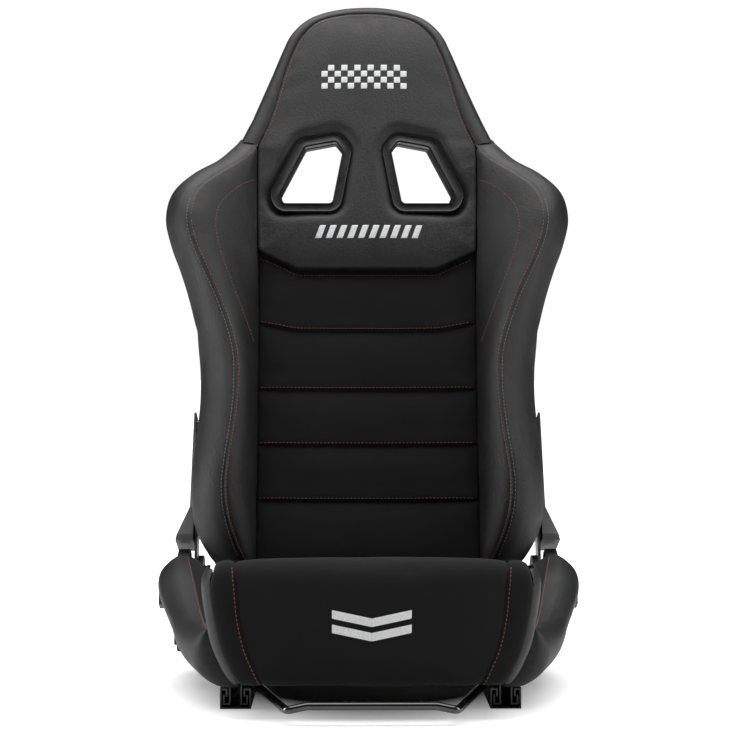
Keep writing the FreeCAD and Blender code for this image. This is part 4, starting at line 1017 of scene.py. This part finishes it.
def wing(side, sign):
    """The thigh wing: a dark inner panel up to the ridge seam and a leather outer panel below it."""
    ys, rows = by_rows(WING_STATIONS, WING_SECTIONS, 120)
    parts = (("inner", rows[:, :3], 40, np.array((-0.3, -0.5, 1.0)), 2.0, "suede"),
             ("outer", rows[:, 2:], 60, np.array((1.0, -0.7, 0.3)), 3.0, "pu"))
    for part, table, count, outwards, puff, finish in parts:
        base = []
        for y, row in zip(ys, table):
            path = smooth_path(row, count)
            base.append(np.column_stack([path[:, 0], np.full(count, y), path[:, 1]]))
        base = np.array(base)
        edges = (("left", 2.4, 5), ("right", 2.4, 5), ("bottom", 5, 9), ("top", 4, 8))
        grid = upholstered(base, outwards, puff, 18, edges, 51, 3, waves=0.9)
        piece = sheet_piece(f"wing_{part}_{side}", grid, finish, "seat_base", sign, outwards)
    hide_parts(f"cushion_wing_{side}")

    loop = smooth_path(np.concatenate([rows[-1], rows[-1][:1]]), 120)
    middle = loop.mean(0)
    rings = []
    for share in np.linspace(0.985, 0.02, 14):
        ring = middle + (loop - middle) * share
        depth = np.full(len(ring), 54 + 6 * math.sqrt(1 - share ** 2))
        rings.append(np.column_stack([ring[:, 0], depth, ring[:, 1]]))
    sheet_piece(f"wing_end_{side}", np.array(rings), "pu", "seat_base", sign, -FRONT, CLOTH)


def gusset(side, sign):
    """The cloth that closes the corner between the thigh wing's end, the sitting pad and the backrest."""
    u, t = np.meshgrid(np.linspace(0, 1, 24), np.linspace(0, 1, 40))
    grid = np.stack([144 + 62 * u, 46 + 104 * t, 98 - 5 * t - 3 * np.sin(math.pi * u)], -1)
    sheet_piece(f"gusset_{side}", grid, "suede", "seat_base", sign, UP, CLOTH)


CUSHION_EDGE = 151
CUSHION_SEAMS = (-222, -148, -78, -8, 60, 113)
TONGUE_END, TONGUE_TOP = 154, 96
cushion_height = monotone((-222, -200, -170, -110, -20, 100, 113), (179, 169, 156, 136, 122, 114, 108))


def skirted(grid, depth, count):
    """The grid with walls that hang from its two sides and its rear edge."""
    fall = np.linspace(0, 1, count)[1:]
    drop = np.stack([np.zeros_like(fall), np.zeros_like(fall), -depth * fall], -1)
    rear = grid[-1][None] + drop[:, None] * (1, 1, 0.55)
    grid = np.concatenate([grid, rear])
    left, right = grid[:, :1] + drop[None, ::-1], grid[:, -1:] + drop[None]
    return np.concatenate([left, grid, right], axis=1)


def cushion():
    """The sitting pad: suede channels across it, and a thin tongue that runs back beneath the backrest."""
    x = CUSHION_EDGE * (2 * crowded(90, 0.35) - 1)
    channel = 35
    rows = []
    for k, (front, rear) in enumerate(zip(CUSHION_SEAMS, CUSHION_SEAMS[1:])):
        for t in crowded(channel + 1, 0.8)[min(k, 1):]:
            behind, ahead = t * (rear - front), (1 - t) * (rear - front)
            belly = 5 * (1 - np.exp(-behind / 14)) * (1 - np.exp(-ahead / 14)) - 1.5
            y = front + behind
            z = float(cushion_height(y)) + belly
            rows.append(np.column_stack([x, np.full_like(x, y), np.full_like(x, z)]))
    grid = np.array(rows)
    edge = CUSHION_EDGE - np.abs(grid[..., 0])
    grid[..., 2] += 6 * turned_down(edge, 9) + 0.7 * grain_of(grid, 40, 61)
    grid = settled(grid, UP, 4, sewn_rows=np.arange(1, len(CUSHION_SEAMS) - 1) * channel)
    t = np.linspace(0, 1, 26)[1:, None]
    tongue = np.repeat(grid[-1:], len(t), axis=0)
    tongue[..., 1] += (TONGUE_END - CUSHION_SEAMS[-1]) * t
    tongue[..., 2] += (TONGUE_TOP - tongue[..., 2]) * (1 - (1 - t) ** 2)
    tongue[..., 2] -= 25 * np.clip(t - 0.8, 0, 1)
    grid = skirted(np.concatenate([grid, tongue]), 42, 12)
    piece = sheet_piece("cushion_seat", grid, "suede", "seat_base", outward=UP)
    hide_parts("cushion_center")


# ---- stitches and embroidery

STITCH, STITCH_GAP, THREAD_RADIUS, THREAD_SIDES = 3.6, 1.6, 0.46, 6
# Along one stitch: the place as a share of its length, then width and lift as shares of the radius.
STITCH_SHAPE = ((-0.5, 0.35, -0.9), (-0.36, 0.9, 0.05), (0.0, 1.0, 0.35), (0.36, 0.9, 0.05),
                (0.5, 0.35, -0.9))
SEAM_TO_STITCH = 3.4


def dropped(skin, points, towards, before=120, reach=260):
    """Each point moved along a direction until it meets a named skin: spots and normals, or None."""
    found = []
    for p in points:
        hit, normal, _, _ = SKINS[skin].ray_cast(Vector(p - towards * before), Vector(towards), reach)
        found.append(None if hit is None else (np.array(hit), np.array(normal)))
    return found


def at_distance(place, along, values):
    """The values at one place along a line."""
    return np.array([np.interp(place, along, column) for column in values.T])


def stitch_mesh(runs):
    """Points and faces of every stitch along runs of (spot, normal) pairs."""
    turns = np.linspace(0, 2 * math.pi, THREAD_SIDES, endpoint=False)[:, None]
    one = capped_faces(len(STITCH_SHAPE), THREAD_SIDES)
    points, faces = [], []
    for run in runs:
        spots = np.array([spot for spot, _ in run])
        normals = np.array([normal for _, normal in run])
        along = distances(spots)
        for k in range(int((along[-1] - STITCH) / (STITCH + STITCH_GAP))):
            place = (k + 0.5) * (STITCH + STITCH_GAP)
            middle, normal = at_distance(place, along, spots), at_distance(place, along, normals)
            ahead = at_distance(place + 1.5, along, spots) - at_distance(place - 1.5, along, spots)
            if np.linalg.norm(ahead) < 1e-6:
                continue
            ahead = unit(ahead)
            normal = unit(normal - ahead * np.dot(ahead, normal))
            ring = np.cross(ahead, normal) * np.cos(turns) + normal * np.sin(turns)
            first = len(points)
            for share, width, lift in STITCH_SHAPE:
                centre = middle + ahead * share * STITCH + normal * THREAD_RADIUS * lift
                points.extend(centre + ring * THREAD_RADIUS * width)
            faces += [[first + corner for corner in face] for face in one]
    return points, faces


def sewn(skin, path, towards, spacing=1.5, fewest=20):
    """A path dropped onto a skin, split where it misses or leaps, without its short leftovers."""
    points = spread(path, max(4, int(length_of(path) / spacing)))
    runs = [[]]
    for spot in dropped(skin, points, towards):
        if spot is None or (runs[-1] and np.linalg.norm(spot[0] - runs[-1][-1][0]) > 3 * spacing):
            runs.append([])
        if spot is not None:
            runs[-1].append(spot)
    return [run for run in runs if len(run) > fewest]


def shifted(path, amount):
    """A flat path moved sideways, to its left when amount is positive."""
    direction = unit(np.gradient(path, axis=0))
    return path + np.stack([-direction[:, 1], direction[:, 0]], 1) * amount


DECO_LINE = ((160, 572), (166, 568), (188, 546), (207, 518), (212, 486), (204, 447), (185, 395), (164, 341),
             (157, 322))


def thread_piece(name, runs, finish, body):
    """One piece of all the stitches along the runs."""
    points, faces = stitch_mesh(runs)
    mesh_piece(name, points, faces, finish, body)


def back_stitching():
    """Every visible thread on the backrest."""
    lip = spread([(x, w - 5) for x, w in CHEVRON_LIP], 200)
    channels = [[(-150, seam + SEAM_TO_STITCH), (150, seam + SEAM_TO_STITCH)] for seam in INSERT_SEAMS]
    chevron = spread([(x * 0.985, w + SEAM_TO_STITCH) for x, w in CHEVRON_SEAM], 200)
    red = []
    for line in [lip, *channels, chevron]:
        red += sewn("back_insert", on_back(line), BACKWARDS)
    head = smooth_path([(x, w) for x, w, *_ in HEAD_KNOTS], 200)
    head = shifted(both_halves(head), SEAM_TO_STITCH)
    red += sewn("back_upper_panel", on_back(head), BACKWARDS)

    ridge = knot_rows(BOLSTER_KNOTS, 400)[:, :2]
    shoulder = np.argmax(ridge[:, 0])
    inner, outer = shifted(ridge, 3.2), shifted(ridge, -3.2)
    deco = smooth_path(DECO_LINE, 200)
    pale = []
    for side, sign in SIDES:
        for line in (deco, inner[:shoulder], inner[shoulder:]):
            red += sewn(f"back_bolster_inner_{side}", on_back(line * (sign, 1)), BACKWARDS)
        pale += sewn(f"back_bolster_border_{side}", on_back(outer[10:shoulder + 20] * (sign, 1)), BACKWARDS)

    inset = shifted(rear_outline(), 21)[20:]
    level = [[(-228, height), (228, height)] for height in (REAR_GROOVE - 4.5, REAR_GROOVE + 4.5)]
    for line in [inset * (-1, 1), inset, *level]:
        pale += sewn("back_rear_cover", on_back(line, 60), -BACKWARDS)
    thread_piece("back_red_stitching", red, "red_thread", "backrest")
    thread_piece("back_pale_stitching", pale, "grey_thread", "backrest")


def cushion_stitching():
    """Every visible thread on the cushion."""
    red = []
    seam = shifted(smooth_path(ROLL_SEAM, 120), -SEAM_TO_STITCH)
    ys, rows = by_rows(WING_STATIONS, WING_SECTIONS, 120)
    ridge = np.column_stack([rows[:, 2, 0] + 3.6, ys, rows[:, 2, 1]])
    for side, sign in SIDES:
        red += sewn(f"roll_side_{side}", on_roll(seam * (sign, 1)), -FRONT)
        red += sewn(f"wing_outer_{side}", ridge * (sign, 1, 1), np.array((-0.25 * sign, 0.25, -0.93)))
    for y in CUSHION_SEAMS[1:-1]:
        red += sewn("cushion_seat", np.array([(-147, y - 4, 130), (147, y - 4, 130)]), -UP)
    thread_piece("cushion_red_stitching", red, "red_thread", "seat_base")


SATIN_RISE, SATIN_THICKNESS = 0.8, 0.9


def satin(name, shapes, skin, place, towards, body):
    """Raised satin-stitch shapes: flat quads laid on a skin, with thread ridges across them."""
    points, faces = [], []
    for shape in np.asarray(shapes, float):
        wide = max(np.linalg.norm(shape[1] - shape[0]), np.linalg.norm(shape[2] - shape[3]))
        tall = max(np.linalg.norm(shape[3] - shape[0]), np.linalg.norm(shape[2] - shape[1]))
        columns, rows = max(6, int(wide / 0.7)), max(5, int(tall / 1.2))
        u, t = np.meshgrid(np.linspace(0, 1, columns), np.linspace(0, 1, rows))
        u, t = u.reshape(-1, 1), t.reshape(-1, 1)
        flat = (shape[0] * (1 - u) * (1 - t) + shape[1] * u * (1 - t)
                + shape[2] * u * t + shape[3] * (1 - u) * t)
        spots = dropped(skin, place(flat), towards)
        if any(spot is None for spot in spots):
            continue
        spot, normal = (np.array(values) for values in zip(*spots))
        edge = np.minimum(np.minimum(u, 1 - u) * wide, np.minimum(t, 1 - t) * tall).ravel()
        rise = SATIN_RISE * np.sqrt(np.clip(edge / 1.4, 0, 1))
        ridges = np.tile(0.10 * np.cos(np.arange(columns) * math.pi), rows)
        top = spot + normal * (rise + np.where(edge > 0, ridges, 0))[:, None]
        closed, quads = closed_sheet(top, facing(top, grid_faces(rows, columns), normal), SATIN_THICKNESS)
        faces.extend((quads + len(points)).tolist())
        points.extend(closed.tolist())
    mesh_piece(name, points, faces, "white_thread", body)


def slanted(x, z, width, height, lean=0.0):
    """The corners of a bar that leans sideways towards its top."""
    return ((x, z), (x + width, z), (x + width + lean, z + height), (x + lean, z + height))


def motifs():
    """Plain white embroidery: a checkered strip, a row of slashes and a double chevron."""
    cell, columns, low, inset = 9.5, 13, 711, 0.3
    checks = [slanted((column - columns / 2) * cell - 4 + inset, low + row * cell + inset,
                      cell - 2 * inset, cell - 2 * inset)
              for row in range(4) for column in range(columns) if (row + column) % 2 == 0]
    slashes = [slanted(-74 + k * 15.2, 484, 8.6, 19, 7) for k in range(10)]
    for name, shapes in (("head_motif", checks), ("shoulder_motif", slashes)):
        satin(name, shapes, "back_upper_panel", on_back, BACKWARDS, "backrest")
    chevrons = []
    for base in (96, 113):
        for sign in (-1, 1):
            arm = [(0, base), (47 * sign, base + 10), (47 * sign, base + 20), (0, base + 10)]
            chevrons.append(arm[::sign])
    satin("cushion_motif", chevrons, "roll_centre", on_roll, -FRONT, "seat_base")


# ---- finishes on the CAD parts

def finish_cad():
    """Give every CAD part the finish that its own material's name asks for."""
    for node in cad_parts.values():
        for material_slot in node.material_slots:
            name = material_slot.material.name.split(".")[0]
            material_slot.material = FINISHES[CAD_FINISH[name]]


# ---- stage, light and camera

def aimed(thing, spot, aim):
    """Put a lamp or camera at a spot, looking at another."""
    thing.location = spot
    thing.rotation_euler = (Vector(aim) - Vector(spot)).to_track_quat("-Z", "Y").to_euler()


def area_light(name, spot, aim, size, power):
    """A soft rectangular lamp."""
    light = bpy.data.lights.new(name, "AREA")
    light.shape = "RECTANGLE"
    light.size, light.size_y = size
    light.energy = power
    aimed(placed(name, light), spot, aim)


def painted_glow_floor_finish():
    """Floor paper with painted light: a glow seen only by camera rays, so it looks brighter to the eye
    outside the seat's own shadow, but no lamp for the seat itself.
    """
    paper = Nodes("floor_paper_painted_glow")
    paper.colours(paper.noise(3, 2), grey(0.88), grey(0.92))
    paper.rough(paper.between(paper.noise(8, 2), 0.6, 0.7))
    # Painted light: the floor glows for camera rays only. There is no glow within about 0.26 m of the seat's
    # middle (less to the sides), and it rises to full beyond 2.6 m, so the edge of the seat's shadow on the
    # floor is painted by where the glow starts.
    eye = paper.add("ShaderNodeLightPath").outputs["Is Camera Ray"]
    place = paper.place
    for operation, amount in (("SUBTRACT", (0, 0.1, 0)), ("MULTIPLY", (1.5, 1.0, 1.0))):
        node = paper.add("ShaderNodeVectorMath", operation=operation)
        paper.link(place, node.inputs[0])
        node.inputs[1].default_value = amount
        place = node.outputs["Vector"]
    length = paper.add("ShaderNodeVectorMath", operation="LENGTH")
    paper.link(place, length.inputs[0])
    near = paper.between(length.outputs["Value"], 0.0, 0.5, 0.26, 0.42)
    further = paper.between(length.outputs["Value"], 0.0, 0.9, 0.5, 2.6)
    painted_glow = paper.total(paper.total(near, further), eye, "MULTIPLY")
    paper.link(painted_glow, paper.shader.inputs["Emission Strength"])
    paper.shader.inputs["Emission Color"].default_value = (1, 1, 1, 1)
    return paper.material


def stage():
    """The floor, the sky and the lamps."""
    half, clear = 80.0, -0.0005
    mesh = bpy.data.meshes.new("floor")
    mesh.from_pydata([(-half, -half, clear), (half, -half, clear), (half, half, clear),
                      (-half, half, clear)], [], [(0, 1, 2, 3)])
    mesh.materials.append(painted_glow_floor_finish())
    placed("floor", mesh)

    world = bpy.data.worlds.new("studio")
    world.use_nodes = True
    tree = world.node_tree
    background = tree.nodes["Background"]
    background.inputs["Color"].default_value = (1, 1, 1, 1)
    path = tree.nodes.new("ShaderNodeLightPath")
    level = tree.nodes.new("ShaderNodeMapRange")
    level.inputs["To Min"].default_value = 0.04
    level.inputs["To Max"].default_value = 1.05
    tree.links.new(path.outputs["Is Camera Ray"], level.inputs["Value"])
    tree.links.new(level.outputs["Result"], background.inputs["Strength"])
    bpy.context.scene.world = world
    area_light("key_softbox", (0.0, 0.1, 3.4), (0, 0.1, 0), (5.0, 4.6), 230)
    area_light("strip_left", (-2.3, -0.1, 0.6), (0, 0.15, 0.45), (0.7, 1.8), 30)
    area_light("strip_right", (2.2, -0.5, 0.8), (0, 0.15, 0.45), (0.7, 1.8), 18)


def camera():
    """A long lens in front of the seat, level with the middle of it."""
    lens = bpy.data.cameras.new("camera")
    lens.sensor_width = 36
    lens.lens = 111.3
    eye = placed("camera", lens)
    aimed(eye, (-0.032, -3.0, 0.417), (0, 0, 0.417))
    bpy.context.scene.camera = eye


def build():
    """The whole scene."""
    upper_panel()
    insert()
    head_border()
    rear_cover()
    underside()
    roll()
    roll_underside()
    cushion()
    for side, sign in SIDES:
        bolster(side, sign)
        seam_tape(side, sign)
        bezel(side, sign)
        roll_rear(side, sign)
        gusset(side, sign)
        wing(side, sign)
    back_stitching()
    cushion_stitching()
    motifs()
    finish_cad()
    stage()
    camera()


bpy.context.scene.view_settings.view_transform = "Standard"
build()
bpy.context.view_layer.update()
